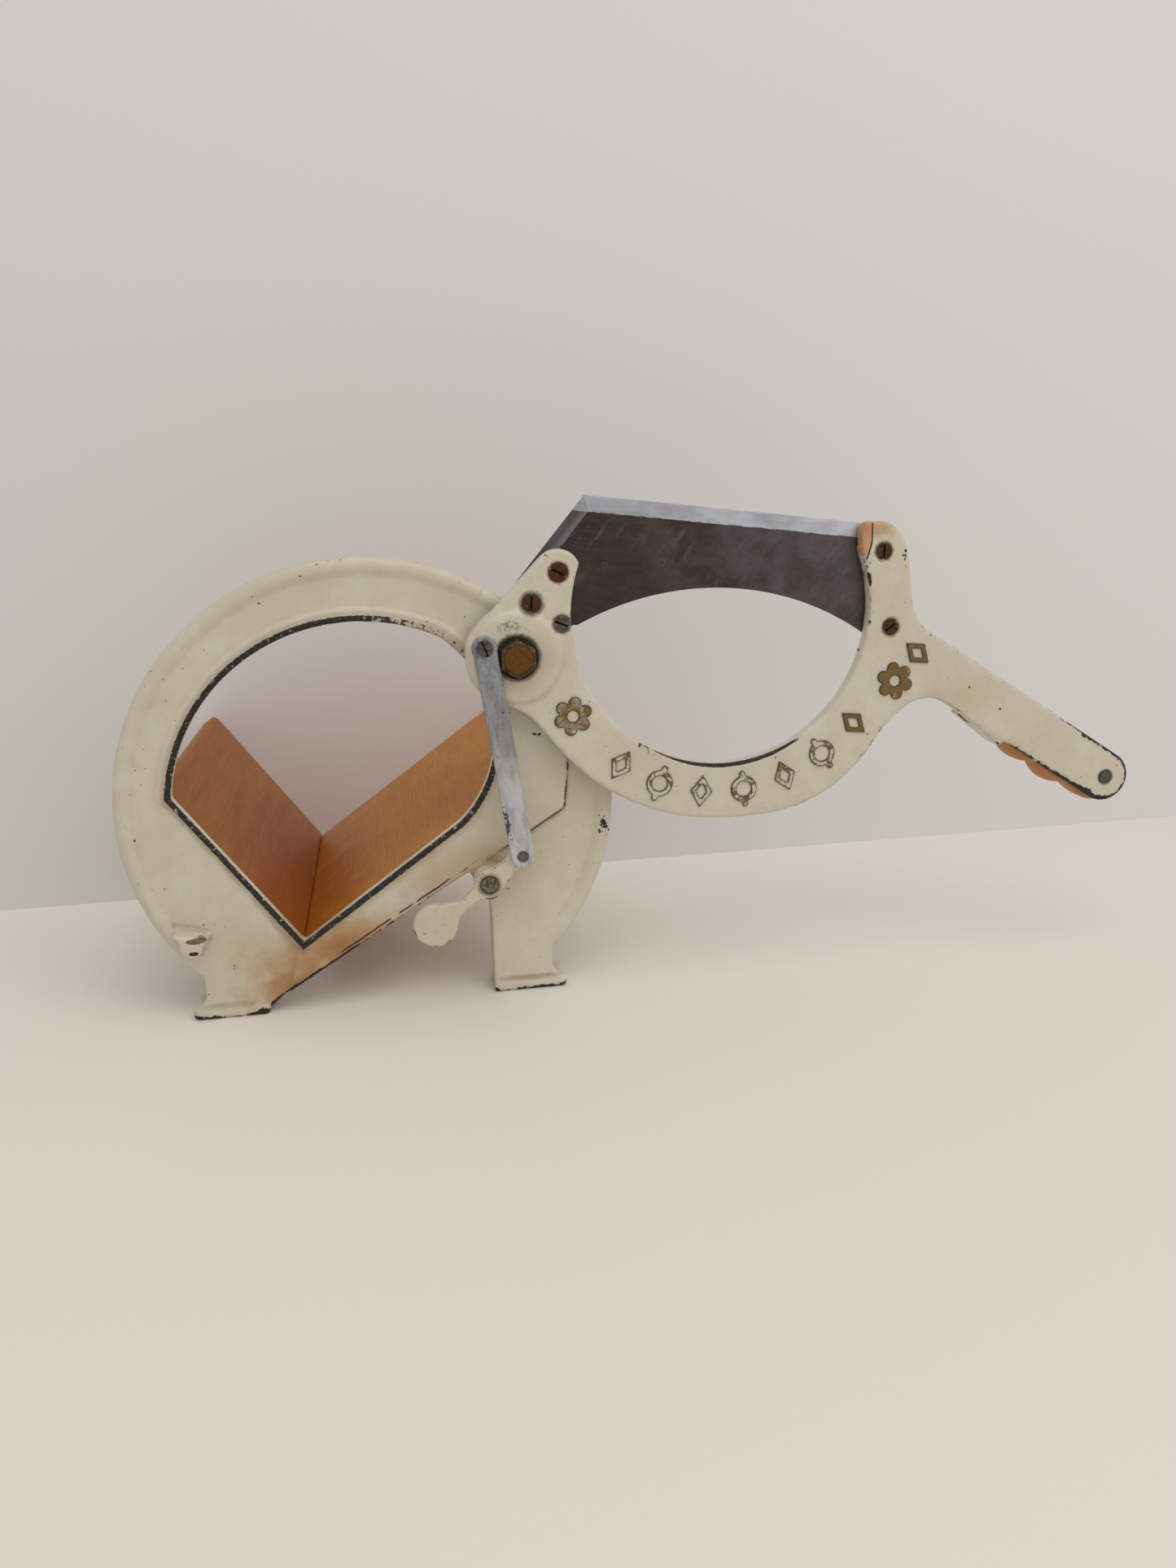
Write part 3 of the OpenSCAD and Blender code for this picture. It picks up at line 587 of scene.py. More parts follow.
    def _handle_edge(self, web: Web, place: Socket) -> Socket:
        """Iron bared along the handle's outline: near its edge, more towards the rounded end."""
        turn = math.radians(-HANDLE_FALL)
        ahead, up = (math.cos(turn), 0.0, math.sin(turn)), (-math.sin(turn), 0.0, math.cos(turn))
        away = web.vector("SUBTRACT", place, HANDLE_END)
        along, over = web.vector("DOT_PRODUCT", away, ahead), web.vector("DOT_PRODUCT", away, up)
        inset = web.less(HANDLE_HALF, web.vector("LENGTH", web.join(web.most(along, 0.0), 0.0, over)))
        torn = web.noise(web.vector("ADD", place, (8.0, 3.0, 70.0)), 0.22, 5.0, 0.7)
        gaps = web.span(web.noise(web.vector("ADD", place, (2.0, 9.0, 33.0)), 0.055, 2.0), 0.40, 0.52, -0.9,
                        0.5)
        reach = web.plus(web.span(along, -60.0, 4.0, 0.1, 1.15), gaps)
        reach = web.scaled(web.less(torn, 0.5), 5.0, reach)
        bare = web.span(web.less(reach, inset), -0.05, 0.1)
        return web.times(bare, web.span(along, -62.0, -56.0), web.span(web.axes(place)[1], -7.0, -8.0))

    def _arm_accents(self, web: Web, place: Socket, tone: Socket) -> tuple[Socket, Socket]:
        """Grease round the pivot, rust round the screws, a stained facet on the post."""
        x, y, z = web.axes(place)
        front = web.span(y, -1.0, -2.0)
        for centre, inner, outer, strength, colour in (
                (PIVOT, 10.9, 12.6, 1.0, self.grime),
                ((98.2, 0.0, 221.7), 5.0, 6.0, 0.85, self.rust),
                ((84.4, 0.0, 207.2), 5.0, 7.0, 0.85, self.grime),
                ((99.1, 0.0, 196.6), 4.5, 5.6, 0.7, self.grime),
                ((265.6, 0.0, 225.7), 4.5, 5.8, 0.85, self.brown),
                ((270.5, 0.0, 187.1), 4.5, 5.8, 0.85, self.brown),
                (HANDLE_END, 3.6, 4.8, 0.8, self.grime)):
            ring = web.call(self.effects.pool, Place=place, Centre=centre, Inner=inner, Outer=outer)["Ring"]
            tone = web.mix(web.times(ring, strength), tone, colour)
        for centre, size, strength in (((320.0, -8.0, 150.0), (34.0, 40.0, 14.0), 0.16),
                                       ((262.0, -8.0, 238.0), (16.0, 40.0, 8.0), 0.7),
                                       ((270.0, -8.0, 205.0), (18.0, 40.0, 30.0), 0.11),
                                       ((78.0, -8.0, 176.0), (22.0, 40.0, 22.0), 0.27)):
            patch = web.call(self.effects.stain, Place=place, Centre=centre, Size=size)["Patch"]
            tone = web.mix(web.times(patch, front, strength), tone, self.tan)
        scatter = web.call(self.effects.stain, Place=place, Centre=(73.0, -12.0, 196.5),
                           Size=(11.0, 14.0, 6.0))["Patch"]
        scatter = web.span(web.scaled(scatter, 0.2, web.noise(place, 0.42, 5.0, 0.72)), 0.62, 0.78)
        scatter = web.times(scatter, front, 0.8)
        tone = web.mix(scatter, tone, (0.15, 0.125, 0.095))
        facet = web.times(web.span(x, 258.6, 258.0), web.span(z, 223.0, 225.0), web.span(x, 249.0, 251.0))
        tone = web.mix(web.times(facet, front, 0.8), tone, (0.52, 0.22, 0.09))
        bare_and_shaded_edge_line = web.math("ABSOLUTE", web.less(x, web.span(z, 218.0, 232.0, 255.8, 258.9)))
        bare_and_shaded_edge_line = web.times(web.span(bare_and_shaded_edge_line, 0.55, 0.3), web.span(z, 221.0, 222.5), web.span(z, 240.5, 239.5))
        dots = web.times(web.span(web.noise(place, 0.5, 3.0, 0.7), 0.57, 0.6), web.span(x, 260.0, 257.5),
                         web.span(z, 204.0, 208.0), web.span(z, 222.0, 220.0))
        dots = web.times(dots, web.span(x, 250.0, 252.0))
        away = web.vector("LENGTH", web.join(web.less(x, RING[0]), 0.0, web.less(z, RING[2])))
        thick = web.math("POWER", web.times(web.less(x, 187.0), 1 / 46), 2.0)
        thick = web.scaled(web.math("SUBTRACT", 1.0, thick, clamp=True), 2.1, 77.7)
        wobble = web.scaled(web.noise(place, 0.3, 3.0, 0.6), 1.2, -0.6)
        inner = web.times(web.span(web.less(web.plus(away, wobble), thick), 0.15, -0.15),
                          web.span(z, 132.0, 130.0), web.span(away, 77.6, 77.8))
        inner = web.times(inner, web.span(thick, 77.8, 78.1), web.span(y, -8.0, -9.0))
        root = web.scaled(x, math.tan(math.radians(HANDLE_FALL)), z)
        joint = web.math("ABSOLUTE", web.less(root, 342.4))
        joint = web.times(web.span(joint, 0.9, 0.5), web.span(y, -7.4, -6.8))
        bare = web.most(bare_and_shaded_edge_line, dots, inner, joint)
        bare = web.most(web.times(bare, front), self._handle_edge(web, place))
        for centre, size in (((105.0, -11.0, 200.0), (4.0, 8.0, 11.0)),
                             ((91.5, -11.0, 229.5), (5.0, 8.0, 2.2)),
                             ((277.0, -11.0, 224.0), (3.5, 8.0, 10.0)),
                             ((300.0, -11.0, 186.0), (16.0, 12.0, 12.0))):
            spot = web.call(self.effects.stain, Place=place, Centre=centre, Size=size)["Patch"]
            spot = web.span(web.scaled(spot, 0.18, web.noise(place, 0.46, 2.0, 0.6)), 0.745, 0.765)
            bare = web.most(bare, web.times(spot, front))
        flat = web.vector("MULTIPLY", web.vector("ADD", place, (3.0, 0.0, 5.0)), (1.0, 0.0, 1.0))
        flecks = web.cells(flat, 0.075)
        flecks = web.scaled(web.noise(place, 0.9, 2.0), 0.06, flecks)
        flecks = web.times(web.span(flecks, 0.092, 0.072), web.span(x, 262.0, 276.0))
        flecks = web.times(flecks, web.span(web.noise(place, 0.045, 1.0), 0.46, 0.48))
        bare = web.most(bare, web.times(flecks, front))
        return tone, bare


@dataclass(frozen=True)
class Varnished:
    """Varnished beech gone orange, with its grain along y or along the handle."""

    effects: Effects
    light: Colour = (0.46, 0.165, 0.014)
    deep: Colour = (0.34, 0.103, 0.007)
    ember: Colour = (0.26, 0.052, 0.003)
    golden: Colour = (0.56, 0.218, 0.018)
    pore: Colour = (0.14, 0.045, 0.010)

    def material(self, name: str, turn: float = 0.0, ember_at: Point | None = None,
                 gold: float = 0.0) -> bpy.types.Material:
        """The varnish of one piece of wood.

        Args:
            name: The material's name.
            turn: Turn of the grain about y, in degrees, with the grain then along x.
            ember_at: A place that the varnish is darkest round, or None.
            gold: How much lighter and yellower the whole piece is.

        Returns:
            The material.
        """
        material, web = new_material(name)
        place = self.effects.place(web)
        grain = place
        if turn:
            x, y, z = web.axes(web.turned(place, turn))
            grain = web.join(y, x, z)
        figure = web.call(self.effects.grain, Place=grain)
        age = web.call(self.effects.weather, Place=place)
        tone = web.mix(figure["Streak"], self.light, self.deep)
        tone = web.mix(gold, tone, self.golden)
        tone = web.mix(web.times(age["Cloud"], 0.35), tone, self.deep)
        tone = web.mix(web.span(figure["Fibre"], 0.35, 0.75, 0.0, 0.30), tone, self.pore)
        tone = web.mix(web.times(figure["Pore"], 0.35), tone, self.pore)
        if ember_at is not None:
            near = web.call(self.effects.stain, Place=place, Centre=ember_at,
                            Size=(62.0, 260.0, 62.0))["Patch"]
            tone = web.mix(web.times(near, 0.62), tone, self.ember)
        tone = web.mix(web.times(web.span(web.attribute("hollow"), 0.1, 0.8), 0.15), tone, self.pore)
        tone = web.mix(web.times(age["Specks"], 0.5), tone, self.pore)
        rough = web.scaled(age["Skin"], 0.2, 0.38)
        height = web.less(web.times(figure["Fibre"], 0.12), web.times(figure["Pore"], 0.15))
        return finish_material(web, material, tone, rough, 0.0, height, 0.35, 0.0, 0.12)


@dataclass(frozen=True)
class BladeSteel:
    """Carbon steel gone brown-grey, with two ground bevels rubbed bright, and painted highlights: a pale line
    along the top bevel's inner edge, and the short bevel lighter towards its inner edge and towards the tip.
    """

    effects: Effects
    patina: Colour = (0.128, 0.112, 0.116)
    dark: Colour = (0.047, 0.034, 0.031)
    purple: Colour = (0.074, 0.050, 0.045)
    ground: Colour = (0.51, 0.535, 0.59)
    tip: Point = (113.6, 0.0, 257.9)
    edge_slope: float = -7.05
    short_slope: float = 49.2

    def _past(self, web: Web, place: Socket, degrees: float) -> Socket:
        """Distance in from an edge through the tip that runs along a heading."""
        angle = math.radians(degrees)
        normal = (math.sin(angle), 0.0, -math.cos(angle))
        return web.vector("DOT_PRODUCT", web.vector("SUBTRACT", place, self.tip), normal)

    def material(self) -> bpy.types.Material:
        """The blade's steel."""
        material, web = new_material("blade_steel")
        place = self.effects.place(web)
        x, y, z = web.axes(place)
        marks = web.call(self.effects.drag, Place=web.turned(place, self.edge_slope))
        age = web.call(self.effects.weather, Place=place)
        blotch = web.span(web.noise(place, 0.05, 5.0, 0.65, 0.5), 0.36, 0.68)
        across = web.scaled(x, 0.0062, web.scaled(blotch, -0.55, -0.50))
        tone = web.mix(web.span(across, 0.0, 1.1), self.dark, self.patina)
        tone = web.mix(web.times(age["Cloud"], 0.35), tone, self.purple)
        rusted = web.times(web.span(web.noise(place, 0.11, 5.0, 0.7), 0.50, 0.66), web.span(x, 235.0, 120.0))
        tone = web.mix(web.times(rusted, 0.5), tone, (0.085, 0.042, 0.034))
        blued = web.times(web.span(web.noise(place, 0.09, 5.0, 0.7), 0.48, 0.66), web.span(x, 190.0, 250.0))
        tone = web.mix(web.times(blued, 0.45), tone, (0.125, 0.125, 0.145))
        tone = web.mix(web.times(marks["Wipe"], 0.10), tone, (0.16, 0.155, 0.16))
        slanted = web.vector("MULTIPLY", web.turned(place, 52.0), (0.16, 1.0, 1.0))
        rubbed = web.noise(slanted, 0.30, 5.0, 0.72)
        rubbed = web.times(web.span(rubbed, 0.50, 0.72), web.span(web.noise(place, 0.03, 2.0), 0.42, 0.6))
        tone = web.mix(web.times(rubbed, 0.5), tone, (0.19, 0.185, 0.19))
        pit = web.span(web.noise(place, 0.65, 4.0, 0.75), 0.69, 0.73)
        tone = web.mix(web.times(pit, 0.7), tone, (0.012, 0.008, 0.007))
        spots = web.cells(web.vector("ADD", place, (9.0, 0.0, 4.0)), 0.055)
        rim = web.times(web.span(spots, 0.07, 0.09), web.span(spots, 0.13, 0.11))
        tone = web.mix(web.times(rim, 0.12), tone, (0.24, 0.23, 0.23))
        tone = web.mix(web.times(marks["Scratch"], 0.12), tone, (0.3, 0.29, 0.29))
        top, short = self._past(web, place, self.edge_slope), self._past(web, place, self.short_slope)
        wave = web.scaled(web.noise(place, 0.09, 3.0), 0.8, -0.4)
        top_in = web.span(web.plus(top, wave), 7.75, 7.45)
        short_in = web.span(web.plus(short, wave), 6.45, 6.15)
        # Painted highlight: the short bevel is painted lighter towards its inner edge and towards the tip.
        short_in = web.times(short_in, web.span(short, 2.0, 6.0, 0.16, 0.5))
        short_in = web.times(short_in, web.span(z, 205.0, 252.0, 0.45, 1.0))
        shine = web.span(web.noise(web.vector("MULTIPLY", place, (0.35, 1.0, 1.0)), 0.05, 3.0, 0.6), 0.3, 0.7,
                         0.66, 1.0)
        shine = web.times(shine, web.span(x, 112.0, 190.0, 0.82, 1.0))
        bright = web.times(web.most(top_in, short_in), shine)
        ground = web.mix(web.times(marks["Wipe"], 0.35), self.ground, (0.24, 0.24, 0.27))
        ground = web.mix(web.times(age["Mottle"], 0.3), ground, (0.30, 0.29, 0.31))
        face = web.span(y, -0.35, -0.45)
        tone = web.mix(web.times(bright, face), tone, ground)
        # Painted highlight: a pale line along the top bevel's inner edge, where the bevel meets the face.
        shoulder_highlight = web.times(web.span(web.math("ABSOLUTE", web.less(top, 7.6)), 0.35, 0.1),
                         web.span(web.noise(place, 0.2, 3.0), 0.42, 0.6))
        tone = web.mix(web.times(shoulder_highlight, face, 0.5), tone, (0.7, 0.72, 0.76))
        rough = web.scaled(marks["Fine"], 0.22, 0.34)
        rough = web.plus(rough, web.times(blotch, 0.08))
        height = web.scaled(marks["Fine"], 0.08, web.times(marks["Scratch"], -0.2))
        return finish_material(web, material, tone, rough, 0.82, height, 0.3)


@dataclass(frozen=True)
class BareMetal:
    """Plain metal of a fitting: its colour, its tarnish and how it is marked."""

    effects: Effects
    bright: Colour
    tarnish: Colour
    share: float
    rough: float
    metallic: float = 0.85
    polished_below: float | None = None

    def _polish(self, web: Web, place: Socket, marks: Mapping[str, Socket], tone: Socket) -> Socket:
        """Wiped whiter below a height, warmer half way, with a few blue-black spots on one edge."""
        x, _, z = web.axes(place)
        drift = web.scaled(web.noise(place, 0.07, 4.0, 0.6), 44.0, web.less(z, 22.0))
        low = web.span(drift, self.polished_below + 14.0, self.polished_below - 16.0)
        tone = web.mix(web.times(low, web.scaled(marks["Wipe"], 0.5, 0.5)), tone, (0.60, 0.60, 0.61))
        middle = web.times(web.span(z, 112.0, 132.0), web.span(z, 168.0, 148.0))
        tone = web.mix(web.times(middle, 0.22), tone, (0.31, 0.27, 0.245))
        edge = web.scaled(z, 0.1332, web.less(x, 79.4))
        blot = web.times(web.span(edge, 3.4, 1.0), web.span(z, 86.0, 92.0), web.span(z, 112.0, 104.0))
        blot = web.span(web.scaled(blot, 0.2, web.noise(place, 0.5, 4.0, 0.7)), 0.66, 0.70)
        return web.mix(web.times(blot, 0.9), tone, (0.030, 0.042, 0.065))

    def material(self, name: str, turn: float = 0.0, wiped: float = 0.2,
                 slot_dirt_and_shade_y: float | None = None) -> bpy.types.Material:
        """The finish of one fitting.

        Args:
            name: The material's name.
            turn: Direction of the marks about y, in degrees.
            wiped: How strong the pale wiped streaks are.
            slot_dirt_and_shade_y: The depth past which a screw's slot is painted near black, for the dirt
                packed in it and as painted shade, or None.

        Returns:
            The material.
        """
        material, web = new_material(name)
        place = self.effects.place(web)
        marks = web.call(self.effects.drag, Place=web.turned(place, turn))
        rot = web.noise(place, 0.55, 5.0, 0.68)
        tone = web.mix(web.span(rot, 0.62 - self.share * 0.4, 0.74 - self.share * 0.3), self.bright,
                       self.tarnish)
        tone = web.mix(web.times(marks["Wipe"], wiped), tone, (0.62, 0.63, 0.65))
        if self.polished_below is not None:
            tone = self._polish(web, place, marks, tone)
        tone = web.mix(web.times(marks["Scratch"], 0.3), tone, self.tarnish)
        # Painted shade: the slot floor is painted near black, for the shade down in the slot as well as the
        # packed dirt.
        if slot_dirt_and_shade_y is not None:
            dirt_and_slot_shade = web.span(web.axes(place)[1], slot_dirt_and_shade_y - 0.15, slot_dirt_and_shade_y + 0.15)
            tone = web.mix(web.times(dirt_and_slot_shade, 0.94), tone, (0.006, 0.005, 0.004))
        rough = web.scaled(rot, 0.3, self.rough)
        height = web.scaled(marks["Fine"], 0.1, web.times(rot, 0.25))
        return finish_material(web, material, tone, rough, self.metallic, height, 0.4,
                               specular=0.5 if self.metallic > 0.5 else 0.28)


@dataclass(frozen=True)
class Ochre:
    """Hand-laid ochre paint, thin at the edges, with dark dirt round it."""

    effects: Effects
    paint: Colour = (0.190, 0.101, 0.014)
    dark: Colour = (0.030, 0.026, 0.018)

    def relief(self) -> bpy.types.Material:
        """The paint on the raised decoration."""
        material, web = new_material("ochre_relief")
        place = self.effects.place(web)
        x, y, _ = web.axes(place)
        edge = web.attribute("edge")
        patch = web.noise(place, 0.30, 4.0, 0.65)
        faded = web.times(web.span(x, 110.0, 120.0), web.span(x, 246.0, 236.0))
        faded = web.scaled(faded, -0.20, 0.66)
        lost = web.span(web.less(patch, faded), -0.03, 0.03)
        tone = web.mix(web.span(web.noise(place, 0.9, 3.0), 0.3, 0.7), self.paint, (0.15, 0.082, 0.018))
        green = web.times(web.span(x, 118.0, 108.0), web.span(patch, 0.44, 0.56))
        tone = web.mix(web.times(green, 0.8), tone, (0.30, 0.275, 0.17))
        tone = web.mix(lost, tone, (0.55, 0.505, 0.39))
        rim = web.span(web.plus(edge, web.times(web.noise(place, 0.8, 4.0, 0.7), 1.2)), 1.0, 1.2)
        tone = web.mix(web.times(rim, 0.85), tone, self.dark)
        foot = web.span(y, -11.5, -11.1)
        tone = web.mix(web.times(foot, 0.7), tone, self.dark)
        height = web.times(web.noise(place, 0.7, 3.0, 0.6), 0.5)
        return finish_material(web, material, tone, 0.5, 0.0, height, 0.5)

    def bolt(self) -> bpy.types.Material:
        """The pivot bolt: ochre on the round face, black in the groove, brown metal outside."""
        material, web = new_material("ochre_bolt")
        place = self.effects.place(web)
        flat = web.vector("MULTIPLY", web.vector("SUBTRACT", place, PIVOT), (1.0, 0.0, 1.0))
        away = web.scaled(web.noise(place, 0.8, 3.0), 0.5, web.vector("LENGTH", flat))
        rot = web.noise(place, 0.5, 5.0, 0.7)
        shell = web.mix(web.span(rot, 0.4, 0.62), (0.105, 0.070, 0.030), (0.020, 0.014, 0.008))
        face = web.mix(web.span(rot, 0.3, 0.75), (0.145, 0.056, 0.003), (0.085, 0.034, 0.003))
        face = web.mix(web.span(web.noise(place, 0.9, 4.0, 0.7), 0.66, 0.72), face, self.dark)
        tone = web.mix(web.span(away, 7.35, 7.1), shell, face)
        groove = web.times(web.span(away, 6.95, 7.15), web.span(away, 7.65, 7.45))
        tone = web.mix(web.times(groove, 0.85), tone, self.dark)
        rough = web.scaled(rot, 0.25, 0.34)
        height = web.less(web.times(rot, 0.4), groove)
        return finish_material(web, material, tone, rough, 0.0, height, 0.5, specular=0.2)


# ---------------------------------------------------------------- skins and surfaces


def mesh_object(name: str, points: np.ndarray, faces: np.ndarray) -> bpy.types.Object:
    """An object at the origin from points in metres and faces of equal corner count."""
    mesh = bpy.data.meshes.new(name)
    corners = faces.shape[1]
    mesh.vertices.add(len(points))
    mesh.vertices.foreach_set("co", points.astype(np.float32).ravel())
    mesh.loops.add(faces.size)
    mesh.loops.foreach_set("vertex_index", faces.astype(np.int32).ravel())
    mesh.polygons.add(len(faces))
    mesh.polygons.foreach_set("loop_start", np.arange(0, faces.size, corners, dtype=np.int32))
    mesh.polygons.foreach_set("use_smooth", np.ones(len(faces), bool))
    mesh.update()
    mesh.validate()
    made = bpy.data.objects.new(name, mesh)
    bpy.context.scene.collection.objects.link(made)
    return made


def corners_of(mesh: bpy.types.Mesh) -> tuple[np.ndarray, np.ndarray]:
    """A mesh's points and its triangles."""
    mesh.calc_loop_triangles()
    points = np.empty(len(mesh.vertices) * 3)
    mesh.vertices.foreach_get("co", points)
    triangles = np.empty(len(mesh.loop_triangles) * 3, np.int32)
    mesh.loop_triangles.foreach_get("vertices", triangles)
    return points.reshape(-1, 3), triangles.reshape(-1, 3)


@dataclass(frozen=True)
class Skin:
    """The softened surface of one or more CAD solids, as a thick coat or years of handling leaves it.

    The solids are copied, merged and turned into an even mesh of one cell size. Each point then moves
    half way to the mean of its neighbours a few times, which rounds every edge by about a cell and
    leaves the flats where they are.
    """

    name: str
    nodes: tuple[str, ...]
    body: str
    slot: str
    cell: float
    passes: int

    def build(self, frame: Mapping[str, Mapping[str, bpy.types.Object]],
              material: bpy.types.Material) -> bpy.types.Object:
        """Builds the skin, dresses it and seats it on its body.

        Args:
            material: The finish.

        Returns:
            The new piece.
        """
        parts, faces, count = [], [], 0
        for node in self.nodes:
            points, triangles = corners_of(frame["nodes"][node].data)
            keys, where = np.unique(np.round(points / 1e-7).astype(np.int64), axis=0, return_inverse=True)
            parts.append(keys * 1e-7)
            faces.append(where.ravel()[triangles] + count)
            count += len(keys)
        rough = mesh_object(self.name + "_solid", np.vstack(parts), np.vstack(faces))
        even = rough.modifiers.new("even", "REMESH")
        even.mode = "VOXEL"
        even.voxel_size = self.cell * MM
        graph = bpy.context.evaluated_depsgraph_get()
        mesh = bpy.data.meshes.new_from_object(rough.evaluated_get(graph))
        bpy.data.objects.remove(rough)
        mesh.name = self.name
        skin = bpy.data.objects.new(self.name, mesh)
        bpy.context.scene.collection.objects.link(skin)
        self._soften(mesh)
        mesh.polygons.foreach_set("use_smooth", np.ones(len(mesh.polygons), bool))
        mesh.materials.clear()
        mesh.materials.append(material)
        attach(skin, self.body)
        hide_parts(*self.nodes)
        LOG.info("%s: %d faces over %s", self.name, len(mesh.polygons), ", ".join(self.nodes))
        return skin

    def _soften(self, mesh: bpy.types.Mesh) -> None:
        """Moves the points, and keeps how sharp or hollow the surface is as two numbers a point."""
        count = len(mesh.vertices)
        points = np.empty(count * 3)
        mesh.vertices.foreach_get("co", points)
        points = points.reshape(-1, 3)
        edges = np.empty(len(mesh.edges) * 2, np.int64)
        mesh.edges.foreach_get("vertices", edges)
        a, b = edges.reshape(-1, 2).T
        degree = np.maximum(np.bincount(a, minlength=count) + np.bincount(b, minlength=count), 1)

        def mean(values: np.ndarray) -> np.ndarray:
            """Mean over each point's neighbours."""
            return (np.bincount(a, values[b], count) + np.bincount(b, values[a], count)) / degree

        for _ in range(self.passes):
            pulled = np.stack([mean(points[:, k]) for k in range(3)], axis=1)
            points = points + 0.5 * (pulled - points)
        mesh.vertices.foreach_set("co", points.astype(np.float32).ravel())
        mesh.update()
        normals = np.empty(count * 3)
        mesh.vertex_normals.foreach_get("vector", normals)
        pulled = np.stack([mean(points[:, k]) for k in range(3)], axis=1)
        bend = np.einsum("ij,ij->i", pulled - points, normals.reshape(-1, 3)) / (self.cell * MM)
        sharp, hollow = np.clip(-bend * 9.0, 0, 1), np.clip(bend * 9.0, 0, 1)
        for _ in range(3):
            sharp = np.maximum(sharp, mean(sharp) * 1.02)
        sharp = mean(mean(sharp))
        for _ in range(4):
            hollow = 0.4 * hollow + 0.6 * mean(hollow)
        for key, values in (("edge", sharp), ("hollow", np.clip(hollow * 1.8, 0, 1))):
            kept = mesh.attributes.new(key, "FLOAT", "POINT")
            kept.data.foreach_set("value", values.astype(np.float32))


@dataclass(frozen=True)
class WoodenGrip:
    """The wooden half of the handle: flat on the metal cheek, rounded behind, three finger swells below.

    The surface runs along the handle with u and round it with v. Its section is a superellipse whose
    lower edge follows the swells, and it closes over both ends.
    """

    end: tuple[float, float] = (HANDLE_END[0], HANDLE_END[2])
    slope: float = -HANDLE_FALL
    length: float = 76.4
    start: float = -63.8
    top: float = 12.0
    swells: tuple[float, float, float] = (-52.0, -28.5, -6.0)
    swell_depths: tuple[float, float, float] = (17.8, 18.4, 15.9)
    valley_depth: float = HANDLE_HALF
    front_y: float = -7.95
    back_y: float = 7.95
    columns: int = 120
    rows: int = 72

    def _lower(self, s: np.ndarray) -> np.ndarray:
        """Depth of the lower edge: the deepest of three rounded swells, each a cosine half wave."""
        humps = [(deep - self.valley_depth) * np.cos(np.clip((s - at) / 12.2, -1, 1) * math.pi / 2) ** 0.8
                 for at, deep in zip(self.swells, self.swell_depths)]
        return self.valley_depth + np.maximum(np.max(humps, axis=0), 0)

    def build(self, seat: Seat, material: bpy.types.Material) -> bpy.types.Object:
        """Builds and seats the grip."""
        u = np.linspace(0, 1, self.columns)
        s = self.start + self.length * u
        round_end = np.sqrt(np.clip(1 - np.clip((s - 0.6) / 12.0, 0, 1) ** 2.4, 0, 1))
        butt = np.clip((s - self.start) / 1.2, 0, 1) ** 0.5
        ease = 0.90 + 0.10 * butt
        high, low = self.top * round_end * ease, -self._lower(s) * round_end * ease
        half, mid = (high - low) / 2, (high + low) / 2
        v = np.linspace(0, 2 * math.pi, self.rows, endpoint=False)
        across = np.sign(np.cos(v)) * np.abs(np.cos(v)) ** (2 / 2.4)
        behind = np.sin(v)
        deep = np.where(behind > 0, np.abs(behind) ** (2 / 2.2), -np.abs(behind) ** (2 / 9.0))
        middle_y, half_y = (self.front_y + self.back_y) / 2, (self.back_y - self.front_y) / 2
        squeeze = np.clip(round_end, 0.0, 1.0) ** 0.35 * ease
        p = mid[:, None] + half[:, None] * across[None, :]
        y = middle_y + half_y * deep[None, :] * np.where(deep[None, :] > 0, squeeze[:, None], 1.0)
        cosine, sine = math.cos(math.radians(self.slope)), math.sin(math.radians(self.slope))
        x = self.end[0] + s[:, None] * cosine - p * sine
        z = self.end[1] + s[:, None] * sine + p * cosine
        grid = np.stack([x, np.broadcast_to(y, x.shape), z], axis=-1).reshape(-1, 3)
        caps = np.array([grid[: self.rows].mean(0), grid[-self.rows:].mean(0)])
        points = seat.metres(np.vstack([grid, caps]))
        i, j = np.meshgrid(np.arange(self.columns - 1), np.arange(self.rows), indexing="ij")
        here, beside = i * self.rows + j, i * self.rows + (j + 1) % self.rows
        quads = np.stack([here, beside, beside + self.rows, here + self.rows], axis=-1).reshape(-1, 4)
        triangles = np.vstack([quads[:, [0, 1, 2]], quads[:, [0, 2, 3]]])
        ring, following = np.arange(self.rows), (np.arange(self.rows) + 1) % self.rows
        last = (self.columns - 1) * self.rows
        first_cap = np.stack([following, ring, np.full(self.rows, len(grid))], axis=1)
        last_cap = np.stack([last + ring, last + following, np.full(self.rows, len(grid) + 1)], axis=1)
        made = mesh_object("wooden_grip", points, np.vstack([triangles, first_cap, last_cap]))
        face_outwards(made)
        made.data.materials.append(material)
        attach(made, "arm")
        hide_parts("grip")
        LOG.info("wooden_grip: %d faces", len(made.data.polygons))
        return made


def face_outwards(piece: bpy.types.Object) -> None:
    """Turns a closed shell the right way when its signed volume is negative."""
    points, triangles = corners_of(piece.data)
    a, b, c = (points[triangles[:, k]] for k in range(3))
    if np.einsum("ij,ij->i", a, np.cross(b, c)).sum() < 0:
        piece.data.flip_normals()


# ---------------------------------------------------------------- the slicer


